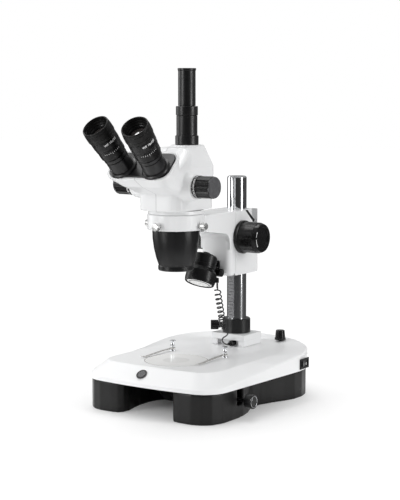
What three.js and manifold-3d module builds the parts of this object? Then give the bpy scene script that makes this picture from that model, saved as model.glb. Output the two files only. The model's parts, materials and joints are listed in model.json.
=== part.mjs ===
// Trinocular stereo microscope on a rack-and-pinion pillar stand.
// Millimetres, +Z up, +X to the user's right, -Y towards the user.
// Parts are laid out about the head's own vertical axis, then moved as one so
// that the origin is under the middle of the whole instrument.
import * as THREE from 'three';
import { mergeVertices } from 'three/addons/utils/BufferGeometryUtils.js';
import Module from 'manifold-3d';

const wasm = await Module();
wasm.setup();

// ---- where the head axis stands, seen from the middle of the instrument ----
const HEAD_X = 5.17;
const HEAD_Y = 44.4;

// ---- clearances -------------------------------------------------------------
const GAP = 0.3;

// ---- base -------------------------------------------------------------------
const COVER = { front: -89, bulge: 4.7, half: 126.7, flare: 0.0564, corner: 41, shoulder: 150, back: 256 };
const STAGE = { front: -62, bulge: 2.5, half: 102, flare: -0.02, corner: 32, shoulder: 104, back: 240 };
const COVER_BOTTOM = 47;
const EDGE_Z = 61.3;
const EDGE_RISE = 0.076;
const STAGE_Z = 75;
const COVER_WALL = 3;
const PLATE_R = 50;
const PLATE_T = 2.6;
const FRAME_TOP = COVER_BOTTOM - GAP;
const CLIP_X = 50.5;
const CLIP_Y = 61.5;
const CLIP_THICK = 0.7;
const DIMMER = [52, 229];
const MIRROR_Y = -2;
const MIRROR_Z = 27.5;
const KNOB_END = 145.5;

// ---- pillar -----------------------------------------------------------------
const PILLAR_Y = 174;
const PILLAR_R = 16;
const PILLAR_TOP = 355;
const SLAB_HALF = 32.5;
const SLAB_TOP = 94.9;
const COLLAR_R = 23;
const COLLAR_TOP = 119;

// ---- focus block and arm ------------------------------------------------------
const BLOCK_HALF = 28.5;
const BLOCK_FRONT = 109;
const BLOCK_SEAM = 127;
const BLOCK_BACK = 195;
const BLOCK_BOTTOM = 196.5;
const BLOCK_TOP = 301;
const FOCUS_Y = 145.5;
const FOCUS_Z = 258;
const PINION_R = 11.3;
const PITCH_R = 10.6;
const PINION_TEETH = 12;
const TOOTH_PITCH = (2 * Math.PI * PITCH_R) / PINION_TEETH;
const RING_R = 44.4;
const RING_BORE = 38.6;
const RING_BOTTOM = 281;
const RING_TOP = 305.4;

// ---- head ---------------------------------------------------------------------
const HEAD_BOTTOM = 311.6;
const HEAD_WALL = 3;
const PANEL_ORIGIN = [0, -100, 370];
const PANEL_HALF = 54;
const PANEL_V = [-4.5, 43];
const TUBE_X = 30;
const TUBE_V = 11.6;
const TUBE_AXIS = [5.4, -55, 58.7];
const PHOTO_Y = 30;
const PHOTO_SCREW = [-0.42, -0.91, 0];
const PHOTO_Z = 410.5;
const ZOOM_Y = -26;
const ZOOM_Z = 350;
const ZOOM_BOSS = 57.8;
const RACK_TOP = 299;
const SPIGOT_R = 9;

// ---- lamp -----------------------------------------------------------------------
const LAMP_TOP = [0, 83.5, 231.5];
const LAMP_LOW = [0, 62, 185];
const LAMP_PIVOT = [0, 100.5, 203];

// ---- colours ----------------------------------------------------------------------
const WHITE = 0xe9ebec;
const BLACK = 0x1d1d1f;
const SATIN = 0x2b2b2e;
const CHROME = 0xc9ccd0;
const STEEL = 0x8e9297;
const GLASS = 0xbfd0d8;
const OPAL = 0xf4f4f0;

const V3 = (x, y, z) => new THREE.Vector3(x, y, z);
const rad = (deg) => (deg * Math.PI) / 180;
const UPRIGHT = new THREE.Matrix4();

// ---- solids from geometry -------------------------------------------------------------

function signedVolume(p, tri) {
  let sum = 0;
  for (let i = 0; i < tri.length; i += 3) {
    const [a, b, c] = [tri[i] * 3, tri[i + 1] * 3, tri[i + 2] * 3];
    sum += p[a] * (p[b + 1] * p[c + 2] - p[b + 2] * p[c + 1]);
    sum -= p[a + 1] * (p[b] * p[c + 2] - p[b + 2] * p[c]);
    sum += p[a + 2] * (p[b] * p[c + 1] - p[b + 1] * p[c]);
  }
  return sum / 6;
}

// A closed solid from a closed three.js surface, facing out.
function toSolid(geometry) {
  geometry.deleteAttribute('normal');
  geometry.deleteAttribute('uv');
  const merged = mergeVertices(geometry, 1e-4);
  const index = merged.index.array;
  const kept = [];
  for (let i = 0; i < index.length; i += 3) {
    const [a, b, c] = [index[i], index[i + 1], index[i + 2]];
    if (a !== b && b !== c && c !== a) {
      kept.push(a, b, c);
    }
  }
  const p = merged.attributes.position.array;
  if (signedVolume(p, kept) < 0) {
    kept.reverse();
  }
  return new wasm.Manifold(
    new wasm.Mesh({
      numProp: 3,
      vertProperties: new Float32Array(p),
      triVerts: new Uint32Array(kept),
    })
  );
}

function join(first, ...rest) {
  return rest.reduce((sum, s) => sum.add(s), first);
}

function cut(first, ...rest) {
  return rest.reduce((left, s) => left.subtract(s), first);
}

// ---- placing ----------------------------------------------------------------------------

// Local +Z goes along the axis and local +X towards the hint.
function along(origin, axis, hint = null) {
  const z = V3(...axis).normalize();
  const side = hint ? V3(...hint) : Math.abs(z.x) < 0.9 ? V3(1, 0, 0) : V3(0, 1, 0);
  const y = z.clone().cross(side).normalize();
  const x = y.clone().cross(z);
  return new THREE.Matrix4().makeBasis(x, y, z).setPosition(...origin);
}

// ---- basic shapes ---------------------------------------------------------------------------

function box(x0, x1, y0, y1, z0, z1, matrix = UPRIGHT) {
  const g = new THREE.BoxGeometry(x1 - x0, y1 - y0, z1 - z0);
  g.translate((x0 + x1) / 2, (y0 + y1) / 2, (z0 + z1) / 2);
  g.applyMatrix4(matrix);
  return toSolid(g);
}

// A turned part: profile of [radius, height] pairs.
function turned(profile, matrix = UPRIGHT, steps = 24) {
  const closed = profile.map(([r, z]) => new THREE.Vector2(r, z));
  if (profile[0][0] > 0) {
    closed.push(closed[0].clone());
  }
  const g = new THREE.LatheGeometry(closed, steps);
  g.rotateX(Math.PI / 2);
  g.applyMatrix4(matrix);
  return toSolid(g);
}

function rod(r, z0, z1, matrix = UPRIGHT, steps = 18) {
  return turned([[0, z0], [r, z0], [r, z1], [0, z1]], matrix, steps);
}

function tube(rOut, rIn, z0, z1, matrix = UPRIGHT, steps = 24) {
  return turned([[rIn, z0], [rOut, z0], [rOut, z1], [rIn, z1]], matrix, steps);
}

function prism(points, z0, z1, matrix = UPRIGHT) {
  const shape = new THREE.Shape(points);
  const g = new THREE.ExtrudeGeometry(shape, { depth: z1 - z0, bevelEnabled: false });
  g.translate(0, 0, z0);
  g.applyMatrix4(matrix);
  return toSolid(g);
}

function roundRect(x0, x1, y0, y1, r, steps = 6) {
  const corners = [[x1 - r, y0 + r, -90], [x1 - r, y1 - r, 0], [x0 + r, y1 - r, 90], [x0 + r, y0 + r, 180]];
  const points = [];
  for (const [cx, cy, start] of corners) {
    for (let i = 0; i <= steps; i += 1) {
      const a = rad(start + (90 * i) / steps);
      points.push(new THREE.Vector2(cx + r * Math.cos(a), cy + r * Math.sin(a)));
    }
  }
  return points;
}

// A closed skin through rings that hold the same number of points.
function loft(rings) {
  const n = rings[0].length;
  const points = rings.flat();
  const faces = [];
  for (let k = 0; k + 1 < rings.length; k += 1) {
    for (let i = 0; i < n; i += 1) {
      const j = (i + 1) % n;
      const [a, b, c, d] = [k * n + i, k * n + j, (k + 1) * n + j, (k + 1) * n + i];
      faces.push(a, b, c, a, c, d);
    }
  }
  for (const [k, flip] of [[0, true], [rings.length - 1, false]]) {
    const middle = rings[k].reduce((sum, p) => sum.add(p), V3(0, 0, 0)).divideScalar(n);
    const m = points.push(middle) - 1;
    for (let i = 0; i < n; i += 1) {
      const j = (i + 1) % n;
      faces.push(m, k * n + (flip ? j : i), k * n + (flip ? i : j));
    }
  }
  const g = new THREE.BufferGeometry().setFromPoints(points);
  g.setIndex(faces);
  return toSolid(g);
}

const lift = (points, z) => points.map((p) => V3(p.x, p.y, z));

// A gear-like outline: grooves of the given depth around a circle.
function fluted(r, depth, count, share = 0.5) {
  const points = [];
  for (let i = 0; i < count; i += 1) {
    const step = 360 / count;
    for (const [f, rr] of [[0, r], [share, r], [(1 + share) / 2, r - depth]]) {
      const a = rad(step * (i + f));
      points.push(new THREE.Vector2(rr * Math.cos(a), rr * Math.sin(a)));
    }
  }
  return points;
}

// ---- nodes -----------------------------------------------------------------------------------

const instrument = new THREE.Group();
instrument.name = 'stereo_microscope';

function node(name, solid, colour, look = {}) {
  const mesh = solid.getMesh();
  const g = new THREE.BufferGeometry();
  g.setAttribute('position', new THREE.BufferAttribute(new Float32Array(mesh.vertProperties), 3));
  g.setIndex(new THREE.BufferAttribute(new Uint32Array(mesh.triVerts), 1));
  g.translate(-HEAD_X, -HEAD_Y, 0);
  const material = new THREE.MeshStandardMaterial({ color: colour, roughness: 0.45, metalness: 0, ...look });
  const part = new THREE.Mesh(g, material);
  part.name = name;
  instrument.add(part);
}

const METAL = { metalness: 1, roughness: 0.2 };

// ---- base ---------------------------------------------------------------------------------------

// A plan outline with a bowed front, rounded front corners, tapering sides and a round back.
function plan(spec, inset = 0) {
  const front = spec.front + inset;
  const r = spec.corner - inset;
  const cy = front + spec.bulge + r;
  const side = (y) => spec.half - inset + spec.flare * y;
  const cx = side(cy) - r;
  const right = [];
  for (let i = 0; i < 3; i += 1) {
    const t = i / 3;
    right.push(new THREE.Vector2(cx * t, front + spec.bulge * t * t));
  }
  for (let i = 0; i <= 6; i += 1) {
    const a = rad(-90 + (90 * i) / 6);
    right.push(new THREE.Vector2(cx + r * Math.cos(a), cy + r * Math.sin(a)));
  }
  for (let i = 1; i < 3; i += 1) {
    const y = cy + ((spec.shoulder - cy) * i) / 3;
    right.push(new THREE.Vector2(side(y), y));
  }
  const [a0, b0] = [side(spec.shoulder), spec.back - inset - spec.shoulder];
  for (let i = 0; i <= 9; i += 1) {
    const t = rad((90 * i) / 9);
    const x = a0 * Math.cos(t) ** 0.93;
    right.push(new THREE.Vector2(i === 9 ? 0 : x, spec.shoulder + b0 * Math.sin(t) ** 0.93));
  }
  const left = right.slice(1, -1).reverse().map((p) => new THREE.Vector2(-p.x, p.y));
  return right.concat(left);
}

const edgeZ = (y) => EDGE_Z + EDGE_RISE * y;

function coverBody(inset) {
  const drop = inset;
  const outer = plan(COVER, inset);
  const shoulder = plan(COVER, inset + 2.2);
  const stage = plan(STAGE, inset * 0.5);
  const rim = plan(STAGE, -3);
  const low = lift(outer, inset ? COVER_BOTTOM - 1 : COVER_BOTTOM);
  const high = outer.map((p) => V3(p.x, p.y, edgeZ(p.y) - 2 - drop));
  const crown = shoulder.map((p) => V3(p.x, p.y, edgeZ(p.y) - drop));
  const wall = rim.map((p) => V3(p.x, p.y, Math.max(STAGE_Z - 1.2, edgeZ(p.y) - 2.6) - drop));
  const top = lift(stage, STAGE_Z - drop);
  return loft(inset ? [low, crown, top] : [low, high, crown, wall, top]);
}

const SWITCH_Y = 164.5;
const SWITCH_Z = 58;
const SWITCH_X = COVER.half + COVER.flare * 150 - 0.6;
const SWITCH_AT = along([SWITCH_X, SWITCH_Y, SWITCH_Z], [1, 0, 0], [0, 1, 0]);

const SLOPE = Math.atan2(STAGE_Z - edgeZ(COVER.front), STAGE.front - COVER.front);
const BADGE_AT = along([-10, -76.5, 64.1], [0, -Math.sin(SLOPE), Math.cos(SLOPE)], [1, 0, 0]);

function baseTopCover() {
  const shell = cut(coverBody(0), coverBody(COVER_WALL));
  const holes = [
    rod(PLATE_R + GAP, STAGE_Z - PLATE_T - GAP, STAGE_Z + 5, UPRIGHT, 36),
    rod(PLATE_R - 4, STAGE_Z - 10, STAGE_Z + 5, UPRIGHT, 32),
    rod(3.6, STAGE_Z - 10, STAGE_Z + 9, along([DIMMER[0], DIMMER[1], 0], [0, 0, 1]), 12),
    box(-11.2, 11.2, -6.4, 6.4, -10, 10, SWITCH_AT),
  ];
  for (const side of [-1, 1]) {
    holes.push(rod(2.3, STAGE_Z - 10, STAGE_Z + 5, along([side * CLIP_X, CLIP_Y, 0], [0, 0, 1]), 10));
  }
  const ledge = tube(PLATE_R + 3, PLATE_R - 4, STAGE_Z - 6, STAGE_Z - PLATE_T - GAP, UPRIGHT, 32);
  node('base_top_cover', cut(join(cut(shell, ...holes), ledge), ...holes), WHITE);
}

// The moulded black frame: two front feet, a waist and a wide rear foot.
function framePlan() {
  const right = [
    V3(0, 47, 0), V3(26, 43, 0), V3(45, 30, 0), V3(54, 8, 0), V3(54, -22, 0), V3(49, -48, 0),
    V3(45, -68, 0), V3(50, -80, 0), V3(64, -84, 0), V3(90, -83.5, 0), V3(108, -75, 0), V3(119, -57, 0),
    V3(122, -24, 0), V3(119, 14, 0), V3(110, 42, 0), V3(101, 62, 0), V3(102, 86, 0),
    V3(112, 116, 0), V3(123, 142, 0), V3(127, 168, 0), V3(121, 196, 0), V3(104, 218, 0),
    V3(72, 238, 0), V3(36, 247, 0), V3(0, 249, 0),
  ];
  const left = right.slice(1, -1).reverse().map((p) => V3(-p.x, p.y, 0));
  const curve = new THREE.CatmullRomCurve3(right.concat(left), true, 'centripetal');
  return curve.getPoints(60).slice(0, -1).map((p) => new THREE.Vector2(p.x, p.y));
}

function baseFrame() {
  const body = prism(framePlan(), 0, FRAME_TOP);
  const holes = [
    prism(roundRect(-90, 90, 68, 228, 26), 4, 60),
    box(-15.3, 15.3, 220, 260, 12, 40),
    rod(17.3, 0, 60, along([0, 30, 30], [0, 1, 0]), 18),
    rod(3.4, -140, 140, along([0, MIRROR_Y, MIRROR_Z], [1, 0, 0]), 12),
  ];
  for (const side of [-1, 1]) {
    const [a, b] = side > 0 ? [64, 112] : [-112, -64];
    holes.push(prism(roundRect(a, b, -72, 26, 16), 4, 60));
    const [c, d] = side > 0 ? [110, 130] : [-130, -110];
    holes.push(box(c, d, MIRROR_Y - 9, MIRROR_Y + 9, MIRROR_Z - 8, 60));
  }
  node('base_frame', cut(body, ...holes), BLACK);
}

function stagePlate() {
  const z = STAGE_Z - PLATE_T;
  node('stage_plate', rod(PLATE_R, z, STAGE_Z, UPRIGHT, 36), OPAL, { roughness: 0.25 });
}

function stageClip(name, side) {
  const at = along([side * CLIP_X, CLIP_Y, 0], [0, 0, 1]);
  const z = STAGE_Z + GAP;
  const post = turned([
    [0, STAGE_Z - 8], [2, STAGE_Z - 8], [2, z], [4.6, z], [4.2, z + 1.6], [2.6, z + 2.6], [2.6, z + 5],
    [3.4, z + 6], [3.4, z + 11], [2.6, z + 12.4], [2.6, z + 14],
    [4.8, z + 15.6], [4.8, z + 16.6], [0, z + 16.6],
  ], at, 12);
  const hub = tube(4.4, 2.9, z + 2.8, z + 4.6, at, 12);
  const z1 = z + 3;
  const route = [
    V3(0, -3.4, z1 + 0.6), V3(0.6, -24, z1 + 0.6), V3(1.2, -48, z1 - 0.8), V3(1.8, -70, z1 - 1.8),
    V3(2, -79, z1 - 1.4), V3(2.1, -83.5, z1 + 0.8),
  ].map((p) => V3(side * (CLIP_X + p.x), CLIP_Y + p.y, p.z));
  const strip = [];
  for (const [k, p] of route.entries()) {
    const w = 2.9 - 0.25 * k;
    strip.push([
      V3(p.x - w, p.y, p.z), V3(p.x + w, p.y, p.z),
      V3(p.x + w, p.y, p.z + CLIP_THICK), V3(p.x - w, p.y, p.z + CLIP_THICK),
    ]);
  }
  const bore = rod(2.9, z, z + 10, at, 12);
  node(`clip_post_${name}`, post, CHROME, METAL);
  node(`clip_arm_${name}`, cut(join(hub, loft(strip)), bore), CHROME, METAL);
}

const MIRROR_AT = along([0, MIRROR_Y, MIRROR_Z], [0, Math.SQRT1_2, Math.SQRT1_2], [1, 0, 0]);

function mirror() {
  const glass = box(-31, 31, -27, 27, 2.3, 4.6, MIRROR_AT);
  const block = box(-34, 34, -29.5, 29.5, -3.5, 4.4, MIRROR_AT);
  const tray = cut(block, box(-31.3, 31.3, -27.3, 27.3, 2, 9, MIRROR_AT));
  const shaft = rod(3, -52, 134, along([0, MIRROR_Y, MIRROR_Z], [1, 0, 0]), 12);
  const room = box(-31.3, 31.3, -27.3, 27.3, 2, 9, MIRROR_AT);
  node('mirror_glass', glass, 0xdfe6ea, { metalness: 1, roughness: 0.05 });
  node('mirror_tray', cut(join(tray, shaft), room), SATIN);
}

function mirrorKnob() {
  const at = along([0, MIRROR_Y, MIRROR_Z], [1, 0, 0]);
  const z0 = KNOB_END - 13.5;
  const body = turned([
    [0, z0], [9.6, z0], [10.4, z0 + 1], [10.4, KNOB_END - 3.4], [11, KNOB_END - 3], [11, KNOB_END - 0.8],
    [10.2, KNOB_END], [9.2, KNOB_END], [9, KNOB_END - 1], [0, KNOB_END - 1],
  ], at, 20);
  node('mirror_knob', cut(body, rod(3.3, z0 - 1, 134.3, at, 12)), BLACK);
}

function baseLamp() {
  const at = along([0, 48, 30], [0, 1, 0]);
  const body = turned([
    [0, 1], [14, 1], [17, 3], [17, 24], [14, 24], [14, 27],
    [17, 27], [17, 30], [14, 30], [14, 33], [17, 33], [17, 36], [0, 36],
  ], at, 18);
  node('base_led_module', cut(body, rod(13, 0, 2.5, at, 18)), STEEL, { metalness: 1, roughness: 0.5 });
}

const BOARD_PARTS = [
  [-24, 140, 24, 20, 16], [8, 136, 9, 9, 14], [24, 136, 9, 9, 14], [14, 164, 30, 14, 9],
];

function driverBoard() {
  const parts = [box(-42, 42, 122, 186, 7, 8.6)];
  for (const [x, y, w, d, h] of BOARD_PARTS) {
    parts.push(box(x - w / 2, x + w / 2, y - d / 2, y + d / 2, 8.5, 8.6 + h));
  }
  for (const [x, y] of [[-36, 128], [36, 128], [-36, 180], [36, 180]]) {
    parts.push(rod(2.4, 4 + GAP, 7.5, along([x, y, 0], [0, 0, 1]), 10));
  }
  node('driver_board', join(...parts), 0x2e6b46);
}

function powerInlet() {
  const body = join(
    box(-15, 15, 226, 246, 12.3, 39.7),
    box(-15, 15, 245, 250, 12.3, 39.7),
    box(-18, 18, 249.6, 252.2, 9.5, 42.5),
  );
  const mouth = prism(roundRect(-12, 12, -8.5, 8.5, 3, 3), -12, 2, along([0, 252, 26], [0, 1, 0], [1, 0, 0]));
  const pins = [-7, 0, 7].map((x) => box(x - 1, x + 1, 238, 248, 24, 28));
  node('power_inlet', join(cut(body, mouth), ...pins), BLACK);
}

function powerSwitch() {
  const frame = cut(
    join(box(-13.4, 13.4, -8.4, 8.4, 0.9, 2.6, SWITCH_AT), box(-10.9, 10.9, -6.1, 6.1, -9, 1.2, SWITCH_AT)),
    box(-10.1, 10.1, -5, 5, -7, 9, SWITCH_AT)
  );
  const upright = along([SWITCH_X, SWITCH_Y, SWITCH_Z], [0, 0, 1], [0, 1, 0]);
  const rocker = prism([
    new THREE.Vector2(-9, 4.2), new THREE.Vector2(-8.6, -4), new THREE.Vector2(0, -6.4),
    new THREE.Vector2(8.6, -4), new THREE.Vector2(9, 1.4), new THREE.Vector2(0, 2),
  ], -4.7, 4.7, upright.multiply(new THREE.Matrix4().makeScale(1, -1, 1)));
  node('switch_bezel', frame, BLACK);
  node('switch_rocker', rocker, 0x141416);
}

function dimmerKnob() {
  const at = along([DIMMER[0], DIMMER[1], edgeZ(DIMMER[1]) - 0.2], [0, 0, 1]);
  const z0 = 0;
  const skirt = prism(fluted(9.2, 0.5, 12), z0, z0 + 3, at);
  const cone = turned([[0, 2], [8.6, 2], [7.4, 15.2], [6.8, 16], [0, 16]], at, 20);
  const stem = rod(3, -12, 1, at, 12);
  node('dimmer_knob', join(skirt, cone, stem), BLACK);
}

function frontBadge() {
  const face = rod(8.8, 0.35, 1.3, BADGE_AT, 20);
  node('front_badge', face, 0x4a4c50);
}

// ---- pillar -----------------------------------------------------------------------------------------

function pillarBracket() {
  const [y0, y1] = [PILLAR_Y - 27, PILLAR_Y + 26.5];
  const z0 = STAGE_Z + GAP;
  const slab = prism(roundRect(-SLAB_HALF, SLAB_HALF, y0, y1, 1.5, 2), SLAB_TOP - 9.8, SLAB_TOP);
  const block = box(-SLAB_HALF + 0.8, SLAB_HALF - 0.8, y0 + 1, y1 - 1, z0, SLAB_TOP - 9);
  const recess = box(-20.5, 20.5, y0 - 2, y0 + 8, z0 - 2, SLAB_TOP - 9.8);
  const bore = rod(PILLAR_R + GAP, z0 - 5, SLAB_TOP + 5, along([0, PILLAR_Y, 0], [0, 0, 1]), 28);
  const jack = rod(3.1, 0, 4.4, along([8, y0 + 7.6, 80.2], [0, 1, 0]), 12);
  node('pillar_bracket', cut(join(slab, block), recess, bore, jack), WHITE);
}

const PILLAR_AT = along([0, PILLAR_Y, 0], [0, 0, 1]);

function pillar() {
  const z0 = STAGE_Z + GAP;
  const body = turned([
    [0, z0], [PILLAR_R, z0], [PILLAR_R, PILLAR_TOP - 2.4], [PILLAR_R - 0.8, PILLAR_TOP - 0.7],
    [PILLAR_R - 2.6, PILLAR_TOP], [0, PILLAR_TOP],
  ], PILLAR_AT, 32);
  const front = PILLAR_Y - PILLAR_R;
  const slot = box(-5.3, 5.3, front - 4, front + 2.6, COLLAR_TOP + 1, RACK_TOP + 0.4);
  node('pillar', cut(body, slot), CHROME, METAL);
}

function pillarRack() {
  // The teeth are counted both ways from the one that meshes with the pinion.
  const y1 = PILLAR_Y - PILLAR_R + 2.3;
  const [tip, root] = [FOCUS_Y + PITCH_R - 0.6, FOCUS_Y + PINION_R + 0.6];
  const [z0, z1] = [COLLAR_TOP + 1.4, RACK_TOP];
  const edge = [new THREE.Vector2(y1, z0), new THREE.Vector2(root, z0)];
  const first = -Math.floor((FOCUS_Z - z0 - 1.4) / TOOTH_PITCH);
  for (let z = FOCUS_Z + first * TOOTH_PITCH; z + 1.4 < z1; z += TOOTH_PITCH) {
    edge.push(new THREE.Vector2(root, z - 1.2), new THREE.Vector2(tip, z - 0.5));
    edge.push(new THREE.Vector2(tip, z + 0.5), new THREE.Vector2(root, z + 1.2));
  }
  edge.push(new THREE.Vector2(root, z1), new THREE.Vector2(y1, z1));
  const flat = new THREE.Matrix4().makeBasis(V3(0, 1, 0), V3(0, 0, 1), V3(1, 0, 0));
  node('pillar_rack', prism(edge, -5, 5, flat), 0x3a3b3e, { metalness: 1, roughness: 0.4 });
}

function pillarCollar() {
  const z0 = SLAB_TOP + GAP;
  const body = turned([
    [PILLAR_R + GAP, z0], [COLLAR_R, z0], [COLLAR_R, COLLAR_TOP - 1.6],
    [COLLAR_R - 1.6, COLLAR_TOP], [PILLAR_R + GAP, COLLAR_TOP],
  ], PILLAR_AT, 28);
  node('pillar_collar', cut(body, rod(2.8, 14, 30, COLLAR_KNOB_AT, 10)), SATIN);
}

const COLLAR_KNOB_AT = along([0, PILLAR_Y, 106.6], [-0.83, -0.56, 0], [0, 0, 1]);

function collarKnob() {
  const grip = prism(fluted(8, 0.9, 14), 30, 43, COLLAR_KNOB_AT);
  const nose = turned([
    [0, PILLAR_R + 0.6], [2.4, PILLAR_R + 0.6], [2.4, COLLAR_R + 0.6],
    [4.6, COLLAR_R + 0.6], [5.6, 30.5], [0, 30.5],
  ], COLLAR_KNOB_AT, 12);
  node('collar_knob', join(grip, nose), BLACK);
}

// ---- arm ----------------------------------------------------------------------------------------------

function headArm() {
  const side = new THREE.Matrix4().makeBasis(V3(0, 1, 0), V3(0, 0, 1), V3(1, 0, 0));
  const profile = [[36, 300.6], [120, BLOCK_TOP], [120, 240], [BLOCK_FRONT + 1, 240], [BLOCK_FRONT + 1, 252]];
  for (let i = 0; i <= 4; i += 1) {
    const a = rad(90 * (i / 4));
    profile.push([BLOCK_FRONT - 14 + 15 * Math.cos(a), 252 + 15 * Math.sin(a)]);
  }
  profile.push([66, 271.4], [36, 275.4]);
  const arm = prism(profile.map(([y, z]) => new THREE.Vector2(y, z)), -BLOCK_HALF, BLOCK_HALF, side);
  const front = [];
  const [h, r] = [BLOCK_HALF, 9];
  front.push(new THREE.Vector2(h, BLOCK_SEAM), new THREE.Vector2(-h, BLOCK_SEAM));
  for (let i = 0; i <= 6; i += 1) {
    const a = rad(180 + (90 * i) / 6);
    front.push(new THREE.Vector2(-h + r + r * Math.cos(a), BLOCK_FRONT + r + r * Math.sin(a)));
  }
  for (let i = 0; i <= 6; i += 1) {
    const a = rad(270 + (90 * i) / 6);
    front.push(new THREE.Vector2(h - r + r * Math.cos(a), BLOCK_FRONT + r + r * Math.sin(a)));
  }
  const inner = front.map((p) => new THREE.Vector2(p.x * 0.86, BLOCK_SEAM + (p.y - BLOCK_SEAM) * 0.7));
  const face = loft([lift(inner, BLOCK_BOTTOM), lift(front, BLOCK_BOTTOM + 5), lift(front, BLOCK_TOP)]);
  const ring = turned([
    [RING_BORE, RING_BOTTOM], [RING_R - 0.6, RING_BOTTOM],
    [RING_R, RING_BOTTOM + 0.8], [RING_R, RING_TOP - 1.4],
    [RING_R - 1.4, RING_TOP], [RING_BORE, RING_TOP],
  ], UPRIGHT, 32);
  const bore = rod(RING_BORE, 260, 320, UPRIGHT, 32);
  const holes = [0, 90, 270].map((turn) => rod(2.3, 30, 60, screwAt(turn), 10));
  const bracketHole = rod(2.3, -12, 14, along([0, BLOCK_FRONT, 214], [0, 1, 0]), 10);
  node('head_arm', cut(join(arm, face, ring), bore, bracketHole, ...holes), WHITE);
}

// Thumb screws stand at the front, right and left of the ring.
function screwAt(turn) {
  const a = rad(turn - 90);
  return along([0, 0, 288], [Math.cos(a), Math.sin(a), 0], [0, 0, 1]);
}

function ringScrew(name, turn) {
  const at = screwAt(turn);
  const r0 = RING_R + 0.6;
  const shank = rod(2, RING_BORE - 0.2, r0 + 1, at, 10);
  const head = turned([
    [0, r0], [3.6, r0], [3.6, r0 + 3], [5.6, r0 + 3.6],
    [5.9, r0 + 4.4], [5.9, r0 + 10], [5.2, r0 + 11.4], [0, r0 + 12],
  ], at, 14);
  node(`ring_screw_${name}`, join(shank, head), CHROME, METAL);
}

const FOCUS_AT = along([0, FOCUS_Y, FOCUS_Z], [1, 0, 0]);

function focusBlock() {
  const y0 = BLOCK_SEAM + GAP;
  const body = prism(roundRect(-BLOCK_HALF, BLOCK_HALF, y0, BLOCK_BACK, 2.5, 3), BLOCK_BOTTOM, BLOCK_TOP);
  const bore = rod(PILLAR_R + GAP, 180, 320, PILLAR_AT, 28);
  const slot = box(-5.8, 5.8, PILLAR_Y - PILLAR_R - 3.4, PILLAR_Y - 8, 180, 320);
  const pocket = box(-9, 9, y0 + 4, PILLAR_Y - 10, FOCUS_Z - 14, FOCUS_Z + 14);
  const shaftHole = rod(4.4, -40, 40, FOCUS_AT, 14);
  const side = new THREE.Matrix4().makeBasis(V3(0, 1, 0), V3(0, 0, 1), V3(1, 0, 0));
  const notch = prism([
    new THREE.Vector2(153, BLOCK_TOP + 2), new THREE.Vector2(177.6, 281.5), new THREE.Vector2(177.6, 276.8),
    new THREE.Vector2(191.5, 276.8), new THREE.Vector2(191.5, BLOCK_TOP + 2),
  ], 19, 40, side);
  node('focus_block', cut(body, bore, slot, pocket, shaftHole, notch), WHITE);
}

function blockLever() {
  const side = new THREE.Matrix4().makeBasis(V3(0, 1, 0), V3(0, 0, 1), V3(1, 0, 0));
  const blade = prism([
    new THREE.Vector2(156.8, 300.6), new THREE.Vector2(164, 300.6), new THREE.Vector2(186, 283),
    new THREE.Vector2(184.6, 279.5), new THREE.Vector2(181.4, 279.5),
  ], 21, 27.4, side);
  const stem = rod(1.8, 19.4, 22, along([0, 179.5, 284], [1, 0, 0]), 10);
  node('block_lever', join(blade, stem), BLACK);
}

function focusShaft() {
  const rodBody = rod(4, -62, 62, FOCUS_AT, 14);
  const share = 0.3;
  const turn = new THREE.Matrix4().makeRotationZ((-Math.PI * (1 + share)) / PINION_TEETH);
  const teeth = prism(fluted(PINION_R, 2.3, PINION_TEETH, share), -7, 7, FOCUS_AT.clone().multiply(turn));
  node('focus_pinion', join(rodBody, teeth), STEEL, { metalness: 1, roughness: 0.35 });
}

function focusKnob(name, side) {
  const at = along([0, FOCUS_Y, FOCUS_Z], [side, 0, 0], [0, 0, 1]);
  const x0 = BLOCK_HALF + 0.8;
  const flange = turned([[0, x0], [27, x0], [27, x0 + 4.4], [25.4, x0 + 5.4], [0, x0 + 5.4]], at, 20);
  const grip = prism(fluted(25, 0.7, 16, 0.56), x0 + 5, 61.5, at);
  const end = turned([
    [0, 61], [24.6, 61], [23.8, 65.4], [22.4, 68.2], [17.4, 68.2], [16.8, 66.6], [0, 66.6],
  ], at, 20);
  node(`focus_knob_${name}`, cut(join(flange, grip, end), rod(4.3, 20, 62.4, at, 14)), BLACK);
}

// ---- head -----------------------------------------------------------------------------------------------

function headMount() {
  const z0 = RING_BOTTOM + 0.3;
  const body = turned([
    [33, z0], [RING_BORE - 0.4, z0], [RING_BORE - 0.4, RING_TOP + GAP], [43.2, RING_TOP + GAP],
    [42.8, HEAD_BOTTOM - 0.4], [33, HEAD_BOTTOM - 0.4],
  ], UPRIGHT, 32);
  node('head_mount', body, WHITE);
}

const NOSE = [[36.7, 280.7], [36.3, 267], [34.3, 252], [30.8, 237], [26.9, 225.6]];

function noseCone() {
  const foot = [
    [27.7, 224.4], [27.7, 219], [26.4, 217.3], [23, 217.3],
    [23, 219.4], [24.3, 219.4], [24.3, 222.6],
  ];
  const inside = [NOSE[3], NOSE[1]].map(([r, z]) => [r - 2.6, Math.min(z, 277.6)]);
  const rim = [[30, 277.6], [30, 280.7]];
  node('nose_cone', turned([...NOSE, ...foot, ...inside, ...rim], UPRIGHT, 24), SATIN);
}

function objectiveWindow() {
  const z0 = 219.6;
  node('objective_window', rod(24, z0, z0 + 2.2, UPRIGHT, 24), GLASS, { roughness: 0.05, metalness: 0.1 });
}

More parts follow.
